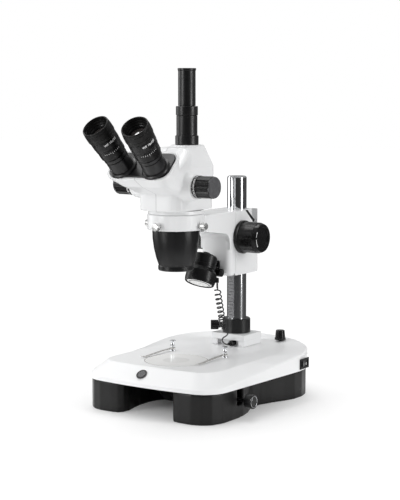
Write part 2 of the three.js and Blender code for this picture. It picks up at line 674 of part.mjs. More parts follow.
// Twin zoom barrels leaning towards each other below the mounting plate.
function zoomOptics() {
  const parts = [tube(32.6, 4, 306.4, 309.4, UPRIGHT, 28)];
  for (const side of [-1, 1]) {
    const [low, high] = [V3(side * 11.4, 0, 232), V3(side * 17.2, 0, 331)];
    const axis = high.clone().sub(low);
    const length = axis.length();
    const at = along(low.toArray(), axis.toArray());
    parts.push(turned([
      [0, 0], [9.6, 0], [11, 60], [13.4, 61], [13.4, length], [0, length],
    ], at, 16));
  }
  node('zoom_optics', join(...parts), 0x3c3e42, { metalness: 0.8, roughness: 0.4 });
}

// Axes of the sloping face that carries the eyepiece tubes.
const FACE_N = V3(0, -Math.SQRT1_2, Math.SQRT1_2);
const FACE_V = V3(0, Math.SQRT1_2, Math.SQRT1_2);

function onFace(u, v, n) {
  return V3(...PANEL_ORIGIN).add(V3(u, 0, 0)).addScaledVector(FACE_V, v).addScaledVector(FACE_N, n);
}

function faceRing(half, v0, v1, r, n, steps = 4) {
  return roundRect(-half, half, v0, v1, r, steps).map((p) => onFace(p.x, p.y, n));
}

function headRing(half, y0, y1, r, z, steps = 4) {
  return lift(roundRect(-half, half, y0, y1, r, steps), z);
}

function headBody() {
  const z0 = HEAD_BOTTOM;
  const lower = loft([
    headRing(39.4, -51.4, 54.4, 19.5, z0),
    headRing(40, -52, 55, 20, z0 + 1),
    headRing(40, -52, 55, 20, 344),
  ]);
  const upper = loft([
    headRing(40, -50, 55, 20, 337), headRing(41.4, -48, 55.6, 18, 366), headRing(41, -46, 55.4, 17, 379),
    headRing(26.5, -20, 55, 20, 407.6),
  ]);
  const back = roundRect(-39.5, 39.5, 325, 407.4, 12, 4).map((p) => V3(p.x, -14, p.y));
  const front = loft([
    faceRing(59, -9.5, 49, 17, 0), faceRing(57, -8, 47, 17, -7), faceRing(49, -4, 45, 17, -24), back,
  ]);
  return join(lower, upper, front);
}

function headCavity() {
  const t = HEAD_WALL;
  const room = loft([
    headRing(37, -49, 52, 17, HEAD_BOTTOM + t, 3),
    headRing(37, -46, 52, 15, 340, 3),
    headRing(38, -40, 52, 14, 377, 3),
    headRing(24, -16, 51, 12, 404.4, 3),
  ]);
  const back = roundRect(-36.5, 36.5, 330, 400, 10, 3).map((p) => V3(p.x, -14, p.y));
  const front = loft([faceRing(53, -4, 43, 13, -6, 3), faceRing(46, -1, 41, 13, -24, 3), back]);
  return join(room, front);
}

function phototubeSeat() {
  const profile = [[0, 400], [24, 400], [27, 407.4], [27, 409.6], [26.2, 410.2], [0, 410.2]];
  return turned(profile, along([0, PHOTO_Y, 0], [0, 0, 1]), 28);
}

function tubeAxis(side) {
  return [side * TUBE_AXIS[0], TUBE_AXIS[1], TUBE_AXIS[2]];
}

function tubeBase(side, n = 0) {
  return onFace(side * TUBE_X, TUBE_V, n).toArray();
}

function tubeHole(side, r, n0, n1) {
  return rod(r, n0, n1, along(tubeBase(side), FACE_N.toArray(), [1, 0, 0]), 18);
}

function headShells() {
  const bosses = [-1, 1].map((side) => turned(
    [[0, 34], [24, 34], [19.4, ZOOM_BOSS - 0.8], [18.6, ZOOM_BOSS], [0, ZOOM_BOSS]],
    along([0, ZOOM_Y, ZOOM_Z], [side, 0, 0], [0, 0, 1]), 24
  ));
  const outer = join(headBody(), ...bosses, phototubeSeat());
  const holes = [
    rod(31, 300, 320, UPRIGHT, 28),
    rod(14.4, 395, 420, along([0, PHOTO_Y, 0], [0, 0, 1]), 18),
    rod(4.6, -70, 70, along([0, ZOOM_Y, ZOOM_Z], [1, 0, 0]), 14),
    loft([faceRing(PANEL_HALF + GAP, PANEL_V[0] - GAP, PANEL_V[1] + GAP, 14, -2.6, 5),
      faceRing(PANEL_HALF + GAP, PANEL_V[0] - GAP, PANEL_V[1] + GAP, 14, 6, 5)]),
    tubeHole(1, 16, -12, 6),
    tubeHole(-1, 16, -12, 6),
  ];
  const shell = cut(outer, headCavity(), ...holes);
  const big = 200;
  node('head_shell_right', shell.intersect(box(0.12, big, -big, big, 200, 500)), WHITE);
  node('head_shell_left', shell.intersect(box(-big, -0.12, -big, big, 200, 500)), WHITE);
}

function eyetubePanel() {
  const [v0, v1] = PANEL_V;
  const plate = loft([
    faceRing(PANEL_HALF, v0, v1, 13.7, -2.2, 5), faceRing(PANEL_HALF, v0, v1, 13.7, 0.4, 5),
    faceRing(PANEL_HALF - 0.8, v0 + 0.8, v1 - 0.8, 13, 1.2, 5),
  ]);
  node('eyetube_panel', cut(plate, tubeHole(1, 15.6, -6, 6), tubeHole(-1, 15.6, -6, 6)), BLACK);
}

function zoomKnob(name, side) {
  const at = along([0, ZOOM_Y, ZOOM_Z], [side, 0, 0], [0, 0, 1]);
  const x0 = ZOOM_BOSS + 0.6;
  const scale = turned([[0, x0], [17.3, x0], [17.3, x0 + 5.8], [16.8, x0 + 6.4], [0, x0 + 6.4]], at, 20);
  const grip = prism(fluted(16.8, 1.3, 12, 0.5), x0 + 6, x0 + 29, at);
  const disc = [[0, 28.6], [16.2, 28.6], [16.2, 31], [15.4, 32.2], [0, 32.2]];
  const cap = turned(disc.map(([r, x]) => [r, x0 + x]), at, 20);
  const knob = join(scale, grip, cap);
  if (side > 0) {
    // The right knob is pinned on the shaft that turns the zoom cam.
    const shaft = rod(4, -78, 64, at, 12);
    const cam = prism(fluted(12, 2, 12, 0.4), -4, 4, at);
    node(`zoom_knob_${name}`, join(knob, shaft, cam), BLACK);
  } else {
    node(`zoom_knob_${name}`, cut(knob, rod(4.3, 50, 78.4, at, 12)), BLACK);
  }
}

function eyetube(name, side) {
  const at = along(tubeBase(side), tubeAxis(side), [1, 0, 0]);
  const plateAt = along(tubeBase(side), FACE_N.toArray(), [1, 0, 0]);
  const foot = turned([[0, 1.6], [22, 1.6], [21.4, 4], [19.6, 5.2], [0, 5.2]], plateAt, 20);
  const spigot = rod(SPIGOT_R, -8, 3, plateAt, 12);
  const body = turned([
    [0, 3], [18.3, 3], [17.9, 24.6], [16.7, 24.6], [16.7, 26.4], [18.4, 26.4], [18.4, 31.6], [16.7, 31.6],
    [16.7, 33.4], [15.5, 33.4], [15.5, 54], [0, 54],
  ], at, 18);
  const bore = join(rod(12, 22, 58, at, 16), rod(SPIGOT_R - 2.2, -12, 26, plateAt, 10));
  node(`eyetube_${name}`, cut(join(foot, spigot, body), bore), SATIN);
}

function diopterRing(name, side) {
  const at = along(tubeBase(side), tubeAxis(side), [1, 0, 0]);
  const ring = turned([
    [15.8, 33.7], [19.3, 33.7], [19.8, 34.4], [19.8, 48.4], [15.8, 48.4],
  ], at, 18);
  node(`diopter_ring_${name}`, ring, BLACK);
}

function eyepiece(name, side) {
  const at = along(tubeBase(side), tubeAxis(side), [1, 0, 0]);
  const barrel = turned([
    [9.5, 26], [11.7, 26], [11.7, 54.3], [15.8, 54.3], [15.8, 48.7], [20.4, 48.7], [20.4, 54], [20.9, 54.6],
    [20.9, 68], [17.2, 68], [17.2, 76], [14.8, 77], [13.4, 75.4], [13.4, 70], [9.5, 66],
  ], at, 18);
  node(`eyepiece_${name}`, barrel, BLACK);
}

function eyecup(name, side) {
  const at = along(tubeBase(side), tubeAxis(side), [1, 0, 0]);
  const cup = turned([
    [17.5, 68.3], [20.9, 68.3], [21.9, 69.6], [21.9, 80], [21, 88], [19.9, 88.8], [18.9, 88.2],
    [17.2, 80.4], [15.4, 78.2], [15.4, 77.3], [17.5, 76.4],
  ], at, 18);
  node(`eyecup_${name}`, cup, 0x19191b, { roughness: 0.8 });
}

function eyeLens(name, side) {
  const at = along(tubeBase(side), tubeAxis(side), [1, 0, 0]);
  const lens = turned([[0, 70.4], [13.1, 70.4], [13.1, 72.6], [11, 74], [7.5, 75.1], [0, 75.8]], at, 18);
  node(`eye_lens_${name}`, lens, 0x7d8f96, { roughness: 0.05, metalness: 0.2 });
}

function phototube() {
  const at = along([0, PHOTO_Y, 0], [0, 0, 1]);
  const lower = turned([
    [12.2, 401], [14, 401], [14, PHOTO_Z], [17.6, PHOTO_Z], [18.2, PHOTO_Z + 1], [18.2, 424.2],
    [16.4, 425], [16.4, 455.8], [14.6, 455.8], [14.6, 462], [12.2, 462],
  ], at, 22);
  const ringBody = turned([
    [14.9, 456.1], [16.5, 456.1], [17.1, 456.7], [17.1, 469.4], [16.5, 470], [14.9, 470],
  ], at, 24);
  const screwHole = rod(1.6, 0, 30, along([0, PHOTO_Y, 463], PHOTO_SCREW), 10);
  const ring = cut(ringBody, screwHole);
  const upper = turned([
    [9.8, 450], [11.9, 450], [11.9, 470.4], [13.6, 470.4], [13.6, 524.6],
    [14.3, 525.2], [14.3, 528.3], [12.2, 528.3], [12.2, 480], [9.8, 476],
  ], at, 22);
  node('phototube_lower', lower, SATIN);
  node('phototube_ring', ring, BLACK);
  node('phototube_upper', upper, SATIN);
}

// ---- spot lamp --------------------------------------------------------------------------------------

const LAMP_AXIS = V3(...LAMP_LOW).sub(V3(...LAMP_TOP)).normalize();
const LAMP_AT = along(LAMP_TOP, LAMP_AXIS.toArray(), [1, 0, 0]);

function lampBracket() {
  const seat = along([0, BLOCK_FRONT - GAP, 210], [0, -1, 0], [1, 0, 0]);
  const plate = prism(roundRect(-10, 10, -12, 12, 3, 3), 0, 3.4, seat);
  const cheek = (x0, x1) => join(
    box(x0, x1, LAMP_PIVOT[1], BLOCK_FRONT - 2, LAMP_PIVOT[2] - 3, LAMP_PIVOT[2] + 9),
    rod(6, x0, x1, along([0, LAMP_PIVOT[1], LAMP_PIVOT[2]], [1, 0, 0]), 16)
  );
  const hole = rod(2.3, -20, 20, along([0, LAMP_PIVOT[1], LAMP_PIVOT[2]], [1, 0, 0]), 10);
  const screw = rod(2, -6, 3, along([0, BLOCK_FRONT, 214], [0, 1, 0]), 10);
  node('lamp_bracket', join(cut(join(plate, cheek(5, 9), cheek(-9, -5)), hole), screw), BLACK);
}

function lampBody() {
  const shell = turned([
    [0, -4.6], [5.8, -4.6], [6.8, -3.4], [6.8, -0.4], [17.4, -0.2],
    [19.4, 2], [19.4, 16], [20.4, 16.6], [20.4, 18.6],
    [19.8, 19.2], [19.8, 21.8], [24.6, 29], [24.8, 41], [23.8, 46.4], [22.4, 47.6], [21.2, 44.6], [0, 44.6],
  ], LAMP_AT, 20);
  const lug = rod(4.5, -4.6, 4.6, along([0, LAMP_PIVOT[1], LAMP_PIVOT[2]], [1, 0, 0]), 16);
  const web = box(-4.6, 4.6, LAMP_LOW[1] + 16, LAMP_PIVOT[1], LAMP_PIVOT[2] - 4, LAMP_PIVOT[2] + 4);
  const hole = rod(2.3, -20, 20, along([0, LAMP_PIVOT[1], LAMP_PIVOT[2]], [1, 0, 0]), 10);
  const gland = rod(3.4, 12, GLAND_REACH, LAMP_GLAND, 16);
  const relief = rod(3.4, -2, 5, along(GLAND_END.toArray(), [0, 0, -1]), 16);
  node('lamp_body', cut(join(shell, lug, web, gland, relief), hole), BLACK);
}

const GLAND_DIR = V3(0.72, 0.62, 0).addScaledVector(LAMP_AXIS, 0.25).normalize();
const GLAND_START = V3(...LAMP_TOP).addScaledVector(LAMP_AXIS, 34);
const GLAND_REACH = 28;
const GLAND_END = GLAND_START.clone().addScaledVector(GLAND_DIR, GLAND_REACH - 2);
const LAMP_GLAND = along(GLAND_START.toArray(), GLAND_DIR.toArray(), [0, 0, 1]);

function lampLens() {
  const lens = turned([[0, 44.9], [20.8, 44.9], [20.8, 46.2], [16, 47.4], [0, 48.6]], LAMP_AT, 24);
  node('lamp_lens', lens, OPAL, { roughness: 0.3 });
}

function lampKnob() {
  const at = along([0, LAMP_PIVOT[1], LAMP_PIVOT[2]], [1, 0, 0]);
  const grip = prism(fluted(6.6, 0.7, 12), 11.4, 19, at);
  const stem = turned([[0, -11], [2, -11], [2, 9.3], [4.4, 9.3], [4.4, 12], [0, 12]], at, 10);
  node('lamp_knob', join(grip, stem), BLACK);
}

// ---- lamp lead --------------------------------------------------------------------------------------

const PLUG_AT = along([8, PILLAR_Y - 19.3, 80.2], [0, -1, 0]);
const COIL_R = 6;
const LEAD_R = 1.2;
const COIL_ROUTE = [
  [21.4, 83.4, 182], [20.5, 88, 167], [18.5, 96, 149], [15.5, 105.5, 129], [13, 114.5, 110.5],
];
const TAIL_ROUTE = [
  [12.9, 115, 109.4], [14.8, 119.6, 105], [14.6, 125, 99.6], [9, 128.4, 95], [3.2, 128.2, 91],
  [1.8, 128.6, 86.4], [4.4, 130.2, 82], [8, 133.2, 80.2], [8, 137.4, 80.2],
];

function lead(route, r, steps, sides) {
  const curve = new THREE.CatmullRomCurve3(route.map((p) => V3(...p)), false, 'centripetal');
  const circle = [];
  for (let i = 0; i < sides; i += 1) {
    const a = rad((360 * i) / sides);
    circle.push(new THREE.Vector2(r * Math.cos(a), r * Math.sin(a)));
  }
  return toSolid(new THREE.ExtrudeGeometry(new THREE.Shape(circle), { steps, extrudePath: curve }));
}

function lampLead() {
  node('lead_coil', lead(COIL_ROUTE, COIL_R, 18, 10), BLACK, { roughness: 0.6 });
  node('lead_tail', lead(TAIL_ROUTE, LEAD_R, 30, 6), BLACK, { roughness: 0.6 });
  const plug = turned([
    [0, -3.8], [2.8, -3.8], [2.8, 0], [4.5, 0], [4.5, 11], [3.6, 12.6], [2.2, 13], [2.2, 17], [0, 17],
  ], PLUG_AT, 14);
  node('lead_plug', plug, BLACK);
}

// ---- build ------------------------------------------------------------------------------------------

baseTopCover();
baseFrame();
stagePlate();
mirror();
mirrorKnob();
baseLamp();
driverBoard();
powerInlet();
powerSwitch();
dimmerKnob();
frontBadge();
pillarBracket();
pillarCollar();
collarKnob();
pillar();
pillarRack();
headArm();
ringScrew('front', 0);
ringScrew('right', 90);
ringScrew('left', 270);
focusBlock();
blockLever();
focusShaft();
headMount();
noseCone();
objectiveWindow();
zoomOptics();
headShells();
eyetubePanel();
for (const [name, side] of [['right', 1], ['left', -1]]) {
  stageClip(name, side);
  focusKnob(name, side);
  zoomKnob(name, side);
  eyetube(name, side);
  diopterRing(name, side);
  eyepiece(name, side);
  eyecup(name, side);
  eyeLens(name, side);
}
phototube();
lampBracket();
lampBody();
lampLens();
lampKnob();
lampLead();

export default instrument;
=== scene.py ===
import json
import math

import bmesh
import bpy
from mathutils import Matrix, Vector
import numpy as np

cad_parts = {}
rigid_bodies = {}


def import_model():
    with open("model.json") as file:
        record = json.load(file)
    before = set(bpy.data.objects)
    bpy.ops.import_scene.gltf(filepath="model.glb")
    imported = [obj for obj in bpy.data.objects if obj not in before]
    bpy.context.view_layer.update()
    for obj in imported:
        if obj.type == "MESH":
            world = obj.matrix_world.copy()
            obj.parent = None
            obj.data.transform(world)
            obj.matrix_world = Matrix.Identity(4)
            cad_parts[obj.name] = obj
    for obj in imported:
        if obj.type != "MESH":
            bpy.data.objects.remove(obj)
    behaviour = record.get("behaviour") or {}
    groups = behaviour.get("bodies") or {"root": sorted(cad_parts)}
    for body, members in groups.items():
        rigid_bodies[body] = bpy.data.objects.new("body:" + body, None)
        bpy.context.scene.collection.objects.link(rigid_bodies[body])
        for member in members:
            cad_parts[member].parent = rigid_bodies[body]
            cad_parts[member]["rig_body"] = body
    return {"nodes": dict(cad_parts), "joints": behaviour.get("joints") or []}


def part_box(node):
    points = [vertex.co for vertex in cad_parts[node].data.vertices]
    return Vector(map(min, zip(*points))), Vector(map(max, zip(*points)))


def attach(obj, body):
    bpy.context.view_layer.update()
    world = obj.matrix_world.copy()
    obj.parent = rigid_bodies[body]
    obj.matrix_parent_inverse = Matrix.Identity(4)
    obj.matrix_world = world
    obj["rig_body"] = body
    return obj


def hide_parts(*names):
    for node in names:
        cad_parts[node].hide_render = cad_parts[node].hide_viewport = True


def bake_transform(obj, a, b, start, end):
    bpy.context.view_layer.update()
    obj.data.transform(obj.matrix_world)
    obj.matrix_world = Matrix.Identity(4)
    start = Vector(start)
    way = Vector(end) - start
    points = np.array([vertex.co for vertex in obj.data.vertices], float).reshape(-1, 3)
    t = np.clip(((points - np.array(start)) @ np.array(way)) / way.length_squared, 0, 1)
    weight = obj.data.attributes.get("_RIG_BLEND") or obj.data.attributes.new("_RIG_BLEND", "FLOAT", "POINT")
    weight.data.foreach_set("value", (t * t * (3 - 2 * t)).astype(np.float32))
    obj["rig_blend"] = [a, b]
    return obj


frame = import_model()
nodes = frame["nodes"]
joints = {joint["name"]: joint for joint in frame["joints"]}
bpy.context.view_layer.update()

MM = 0.001
UP = Vector((0, 0, 1))
RIGHT = Vector((1, 0, 0))
BACK = Vector((0, 1, 0))
SIDES = {"right": 1, "left": -1}

# ---- places taken from the frame -------------------------------------------------------------


def joint_axis(name):
    """A joint's line: a point on it and its direction."""
    joint = joints[name]
    return Vector(joint["pos_m"]), Vector(joint["axis"]).normalized()


def centre_axis(node, direction):
    """The line through the middle of a node's box."""
    low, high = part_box(node)
    return (low + high) / 2, Vector(direction).normalized()


def body_of(node):
    return nodes[node]["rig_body"]


HEAD_AXIS = joint_axis("head_turn")
HEAD_FOOT = Vector((HEAD_AXIS[0].x, HEAD_AXIS[0].y, 0))
PILLAR_AXIS = centre_axis("pillar", UP)
FOCUS_AXIS = joint_axis("focus_spin")
ZOOM_AXIS = joint_axis("zoom_turn")
PHOTO_AXIS = joint_axis("photo_ring_turn")
MIRROR_AXIS = joint_axis("mirror_tilt")
COLLAR_KNOB_AXIS = joint_axis("collar_screw_turn")
DIMMER_AXIS = joint_axis("dimmer_turn")
LAMP_PIVOT = joint_axis("lamp_tilt")
TUBE_AXIS = {side: joint_axis(f"diopter_{side}_turn") for side in SIDES}
FACE_NORMAL = joint_axis("tube_right_swing")[1]


def from_head(x, y, z):
    """A point given in millimetres from the foot of the head's own axis."""
    return HEAD_FOOT + Vector((x, y, z)) * MM


BLOCK_SEAM = from_head(0, 127, 250)
LAMP_TOP = from_head(0, 83.5, 231.5)
LAMP_LINE = (from_head(0, 62, 185) - LAMP_TOP).normalized()
BADGE_NORMAL = (0, -0.45, 0.89)

# ---- camera --------------------------------------------------------------------------------------

CAMERA_AZIMUTH = math.radians(34.34)
CAMERA_PITCH = math.radians(6.60)
CAMERA_AT = from_head(1199.2, -1689.3, 488.06)
CAMERA_LENS = 96.85


def make_camera():
    flat = math.cos(CAMERA_PITCH)
    back = Vector((
        math.sin(CAMERA_AZIMUTH) * flat,
        -math.cos(CAMERA_AZIMUTH) * flat,
        math.sin(CAMERA_PITCH),
    ))
    data = bpy.data.cameras.new("camera")
    data.lens = CAMERA_LENS
    data.sensor_width = 36
    data.clip_start, data.clip_end = 0.05, 20
    camera = bpy.data.objects.new("camera", data)
    camera.location = CAMERA_AT
    camera.rotation_mode = "QUATERNION"
    camera.rotation_quaternion = (-back).to_track_quat("-Z", "Y")
    bpy.context.scene.collection.objects.link(camera)
    bpy.context.scene.camera = camera


# ---- materials -----------------------------------------------------------------------------------

# A Mix node has sockets for numbers, vectors and colours: these are the ones for colours.
COLOUR_INPUTS = (6, 7)
COLOUR_OUTPUT = 2


class Look:
    """One procedural material, built up on a Principled shader."""

    def __init__(self, name, colour, roughness, metallic=0.0, **sockets):
        self.material = bpy.data.materials.new(name)
        self.material.use_nodes = True
        self.tree = self.material.node_tree
        self.shader = self.tree.nodes["Principled BSDF"]
        self.set("Base Color", (*colour, 1))
        self.set("Roughness", roughness)
        self.set("Metallic", metallic)
        for key, value in sockets.items():
            self.set(key.replace("_", " "), value)
        self.colour = colour
        self.roughness = roughness
        self.place = self.add("ShaderNodeTexCoord").outputs["Object"]
        self.height = None

    def set(self, socket, value):
        self.shader.inputs[socket].default_value = value

    def add(self, kind, **links):
        node = self.tree.nodes.new(kind)
        for key, value in links.items():
            self.plug(node.inputs[key], value)
        return node

    def plug(self, socket, value):
        if isinstance(value, bpy.types.NodeSocket):
            self.tree.links.new(value, socket)
        else:
            socket.default_value = value

    def math(self, operation, a, b=0.0):
        node = self.tree.nodes.new("ShaderNodeMath")
        node.operation = operation
        self.plug(node.inputs[0], a)
        self.plug(node.inputs[1], b)
        return node.outputs[0]

    def ramp(self, value, low, high, to_low=0.0, to_high=1.0):
        node = self.tree.nodes.new("ShaderNodeMapRange")
        node.interpolation_type = "SMOOTHSTEP"
        limits = (("From Min", low), ("From Max", high), ("To Min", to_low), ("To Max", to_high))
        for key, v in (("Value", value), *limits):
            self.plug(node.inputs[key], v)
        return node.outputs["Result"]

    def noise(self, grain, detail=2.0, stretch=(1, 1, 1)):
        """Noise whose grains are about this many metres across."""
        mapping = self.add("ShaderNodeMapping", Vector=self.place)
        mapping.inputs["Scale"].default_value = stretch
        node = self.add("ShaderNodeTexNoise", Vector=mapping.outputs[0], Scale=1 / grain, Detail=detail)
        return node.outputs[0]

    def cells(self, size):
        node = self.add("ShaderNodeTexVoronoi", Vector=self.place, Scale=1 / size)
        return node.outputs["Distance"]

    def vector(self, operation, a, b=None):
        """A vector sum's outputs; b is a plain vector."""
        node = self.tree.nodes.new("ShaderNodeVectorMath")
        node.operation = operation
        self.plug(node.inputs[0], a)
        if b is not None:
            node.inputs[1].default_value = b
        return node.outputs

    def along(self, origin, direction):
        """How far a point lies along a line, in metres."""
        shift = self.vector("SUBTRACT", self.place, origin)["Vector"]
        return self.vector("DOT_PRODUCT", shift, direction)["Value"]

    def radius(self, origin, direction):
        """How far a point lies from a line, in metres."""
        shift = self.vector("SUBTRACT", self.place, origin)["Vector"]
        cross = self.vector("CROSS_PRODUCT", shift, direction)["Vector"]
        return self.vector("LENGTH", cross)["Value"]

    def mix(self, factor, a, b):
        node = self.tree.nodes.new("ShaderNodeMix")
        node.data_type = "RGBA"
        self.plug(node.inputs[0], factor)
        for index, value in zip(COLOUR_INPUTS, (a, b)):
            self.plug(node.inputs[index], value if isinstance(value, bpy.types.NodeSocket) else (*value, 1))
        return node.outputs[COLOUR_OUTPUT]

    def tinted(self, factor, other, amount=1.0):
        """The colour moves towards another by a factor."""
        now = self.shader.inputs["Base Color"]
        base = now.links[0].from_socket if now.is_linked else self.colour
        scaled = self.math("MULTIPLY", factor, amount)
        self.tree.links.new(self.mix(scaled, base, other), now)
        return self

    def uneven(self, grain, spread):
        """The gloss wanders a little from place to place."""
        wander = self.ramp(self.noise(grain, 3), 0.3, 0.7, self.roughness - spread, self.roughness + spread)
        self.tree.links.new(wander, self.shader.inputs["Roughness"])
        return self

    def raised(self, value, metres):
        """Adds fine relief of the given height."""
        part = self.math("MULTIPLY", value, metres)
        self.height = part if self.height is None else self.math("ADD", self.height, part)
        return self

    def worn(self, other, amount=0.5, low=0.52, high=0.6):
        """Edges that stand out are rubbed towards another colour."""
        edge = self.add("ShaderNodeNewGeometry").outputs["Pointiness"]
        return self.tinted(self.ramp(edge, low, high), other, amount)

    def done(self):
        if self.height is not None:
            bump = self.add("ShaderNodeBump", Height=self.height)
            bump.inputs["Distance"].default_value = 1.0
            bump.inputs["Strength"].default_value = 1.0
            self.tree.links.new(bump.outputs[0], self.shader.inputs["Normal"])
        return self.material


def white_enamel():
    look = Look("white_enamel", (0.83, 0.835, 0.84), 0.24)
    look.uneven(0.15, 0.02)
    look.tinted(look.ramp(look.noise(0.1, 1), 0.35, 0.7), (0.78, 0.785, 0.795), 0.35)
    look.raised(look.noise(0.03, 1), 0.00001)
    seam = look.ramp(look.math("ABSOLUTE", look.along(BLOCK_SEAM, BACK)), 0.0003, 0.0006, 1.0, 0.0)
    look.tinted(seam, (0.12, 0.12, 0.125), 0.8)
    return look.done()


def white_plastic():
    look = Look("white_plastic", (0.84, 0.845, 0.85), 0.3)
    look.uneven(0.3, 0.015)
    look.tinted(look.ramp(look.noise(0.2, 1), 0.35, 0.7), (0.8, 0.805, 0.81), 0.3)
    return look.done()


def head_plastic():
    """The head's white moulding, with the line where its two halves meet."""
    look = Look("head_plastic", (0.84, 0.845, 0.85), 0.3)
    look.uneven(0.3, 0.015)
    look.tinted(look.ramp(look.noise(0.2, 1), 0.35, 0.7), (0.8, 0.805, 0.81), 0.3)
    off = look.math("ABSOLUTE", look.along(HEAD_AXIS[0], RIGHT))
    seam = look.ramp(off, 0.0002, 0.0005, 1.0, 0.0)
    look.tinted(seam, (0.3, 0.3, 0.31), 0.75)
    look.raised(seam, -0.0003)
    return look.done()


def black_plastic():
    look = Look("black_plastic", (0.008, 0.0078, 0.0078), 0.33, Specular_IOR_Level=0.28)
    look.uneven(0.05, 0.06)
    look.tinted(look.ramp(look.noise(0.04, 4), 0.4, 0.75), (0.013, 0.0128, 0.0128), 0.6)
    look.raised(look.noise(0.0007, 2), 0.000001)
    look.worn((0.03, 0.03, 0.031), 0.4)
    return look.done()


def black_satin():
    """Smooth satin paint on metal."""
    look = Look("black_satin", (0.0065, 0.0065, 0.007), 0.33, Specular_IOR_Level=0.45)
    look.uneven(0.02, 0.04)
    look.tinted(look.ramp(look.noise(0.03, 2), 0.35, 0.7), (0.01, 0.01, 0.0105), 0.5)
    look.worn((0.03, 0.03, 0.032), 0.4)
    return look.done()


def black_gloss():
    look = Look("black_gloss", (0.006, 0.006, 0.0065), 0.3, Specular_IOR_Level=0.28)
    look.uneven(0.02, 0.05)
    look.tinted(look.ramp(look.noise(0.02, 4), 0.4, 0.75), (0.011, 0.011, 0.0115), 0.6)
    look.raised(look.noise(0.0012, 2), 0.000002)
    look.worn((0.035, 0.035, 0.037), 0.4)
    return look.done()


def black_grip():
    look = Look("black_grip", (0.006, 0.006, 0.0062), 0.27, Specular_IOR_Level=0.3)
    look.uneven(0.02, 0.03)
    look.tinted(look.ramp(look.noise(0.012, 4), 0.4, 0.75), (0.01, 0.01, 0.0105), 0.4)
    look.raised(look.noise(0.0012, 2), 0.0000008)
    look.worn((0.03, 0.03, 0.031), 0.3)
    return look.done()


def rubber(name, axis, grooves):
    """Moulded rubber with narrow grooves round it, given in metres along its axis; each groove is pressed in
    and painted near black, as painted shade.
    """
    look = Look(name, (0.007, 0.0068, 0.0066), 0.42, Specular_IOR_Level=0.28)
    look.uneven(0.006, 0.06)
    look.tinted(look.ramp(look.noise(0.008, 5), 0.45, 0.8), (0.018, 0.018, 0.018), 0.45)
    along = look.along(*axis)
    for height in grooves:
        distance = look.math("ABSOLUTE", look.math("SUBTRACT", along, height))
        groove_and_shade = look.ramp(distance, 0.0003, 0.0009, 1.0, 0.0)
        look.raised(groove_and_shade, -0.0006)
        # Painted shade: each groove is painted near black as well as pressed in.
        look.tinted(groove_and_shade, (0.002, 0.002, 0.002), 0.9)
    return look.done()


def turned_barrel(name, axis, bands):
    """Black anodised barrel with fine turned rings in some bands, given in metres along its axis."""
    look = Look(name, (0.0065, 0.0065, 0.007), 0.28, Specular_IOR_Level=0.3)
    look.uneven(0.01, 0.05)
    look.tinted(look.ramp(look.noise(0.01, 4), 0.4, 0.75), (0.012, 0.012, 0.0125), 0.5)
    along = look.along(*axis)
    for start, end, pitch in bands:
        inside = look.math(
            "MULTIPLY",
            look.ramp(along, start, start + 0.0003),
            look.ramp(along, end - 0.0003, end, 1.0, 0.0),
        )
        wave = look.math("SINE", look.math("MULTIPLY", along, 2 * math.pi / pitch))
        look.raised(look.math("MULTIPLY", wave, inside), pitch * 0.12)
    look.worn((0.03, 0.03, 0.032), 0.3)
    return look.done()


def chrome():
    look = Look("chrome", (0.80, 0.81, 0.83), 0.07, metallic=1.0)
    look.uneven(0.02, 0.03)
    look.tinted(look.ramp(look.noise(0.015, 5, (1, 1, 0.2)), 0.45, 0.8), (0.6, 0.61, 0.63), 0.3)
    look.raised(look.noise(0.0006, 2, (1, 1, 0.05)), 0.000004)
    return look.done()


def satin_nickel():
    """Pale metal of the head ring's knurled screws."""
    look = Look("satin_nickel", (0.74, 0.74, 0.73), 0.3, metallic=0.9)
    look.uneven(0.004, 0.05)
    look.tinted(look.ramp(look.noise(0.003, 4), 0.4, 0.7), (0.6, 0.6, 0.59), 0.4)
    look.raised(look.noise(0.0006, 2), 0.000004)
    return look.done()


def steel():
    look = Look("steel", (0.10, 0.10, 0.105), 0.38, metallic=0.8)
    look.uneven(0.004, 0.06)
    look.tinted(look.ramp(look.noise(0.004, 4), 0.4, 0.7), (0.05, 0.05, 0.05), 0.5)
    look.raised(look.noise(0.0005, 2, (0.1, 1, 1)), 0.000005)
    look.worn((0.4, 0.4, 0.41), 0.5)
    return look.done()


def spring_steel():
    """Bright flat spring stock, for the arms of the stage clips."""
    look = Look("spring_steel", (0.66, 0.65, 0.63), 0.3, metallic=0.85)
    look.uneven(0.004, 0.06)
    look.tinted(look.ramp(look.noise(0.004, 4), 0.4, 0.7), (0.5, 0.49, 0.47), 0.4)
    look.raised(look.noise(0.0005, 2, (1, 0.1, 1)), 0.000004)
    return look.done()


def alloy(name="alloy", colour=(0.55, 0.55, 0.57)):
    look = Look(name, colour, 0.4, metallic=0.9)
    look.uneven(0.006, 0.08)
    look.tinted(look.ramp(look.noise(0.003, 5), 0.4, 0.7), tuple(c * 0.7 for c in colour), 0.4)
    look.raised(look.noise(0.0008, 3), 0.00002)
    return look.done()


def opal_plate():
    """The round stage plate: the dark line of its edge, and a duller disc in its middle painted as the dark
    reflection of the nose cone above it.
    """
    look = Look("opal_plate", (0.86, 0.86, 0.85), 0.02)
    look.uneven(0.03, 0.012)
    look.tinted(look.ramp(look.noise(0.03, 4), 0.4, 0.75), (0.8, 0.8, 0.79), 0.3)
    edge = look.ramp(look.radius(*centre_axis("stage_plate", UP)), 0.0487, 0.0492)
    look.tinted(edge, (0.2, 0.19, 0.18), 0.8)
    # Painted reflection: the middle disc is darkened to stand for the dark nose cone mirrored in the plate.
    lamp = look.ramp(look.radius(*centre_axis("stage_plate", UP)), 0.020, 0.022, 1.0, 0.0)
    look.tinted(lamp, (0.66, 0.66, 0.65), 0.5)
    look.raised(look.noise(0.002, 1), 0.000006)
    return look.done()


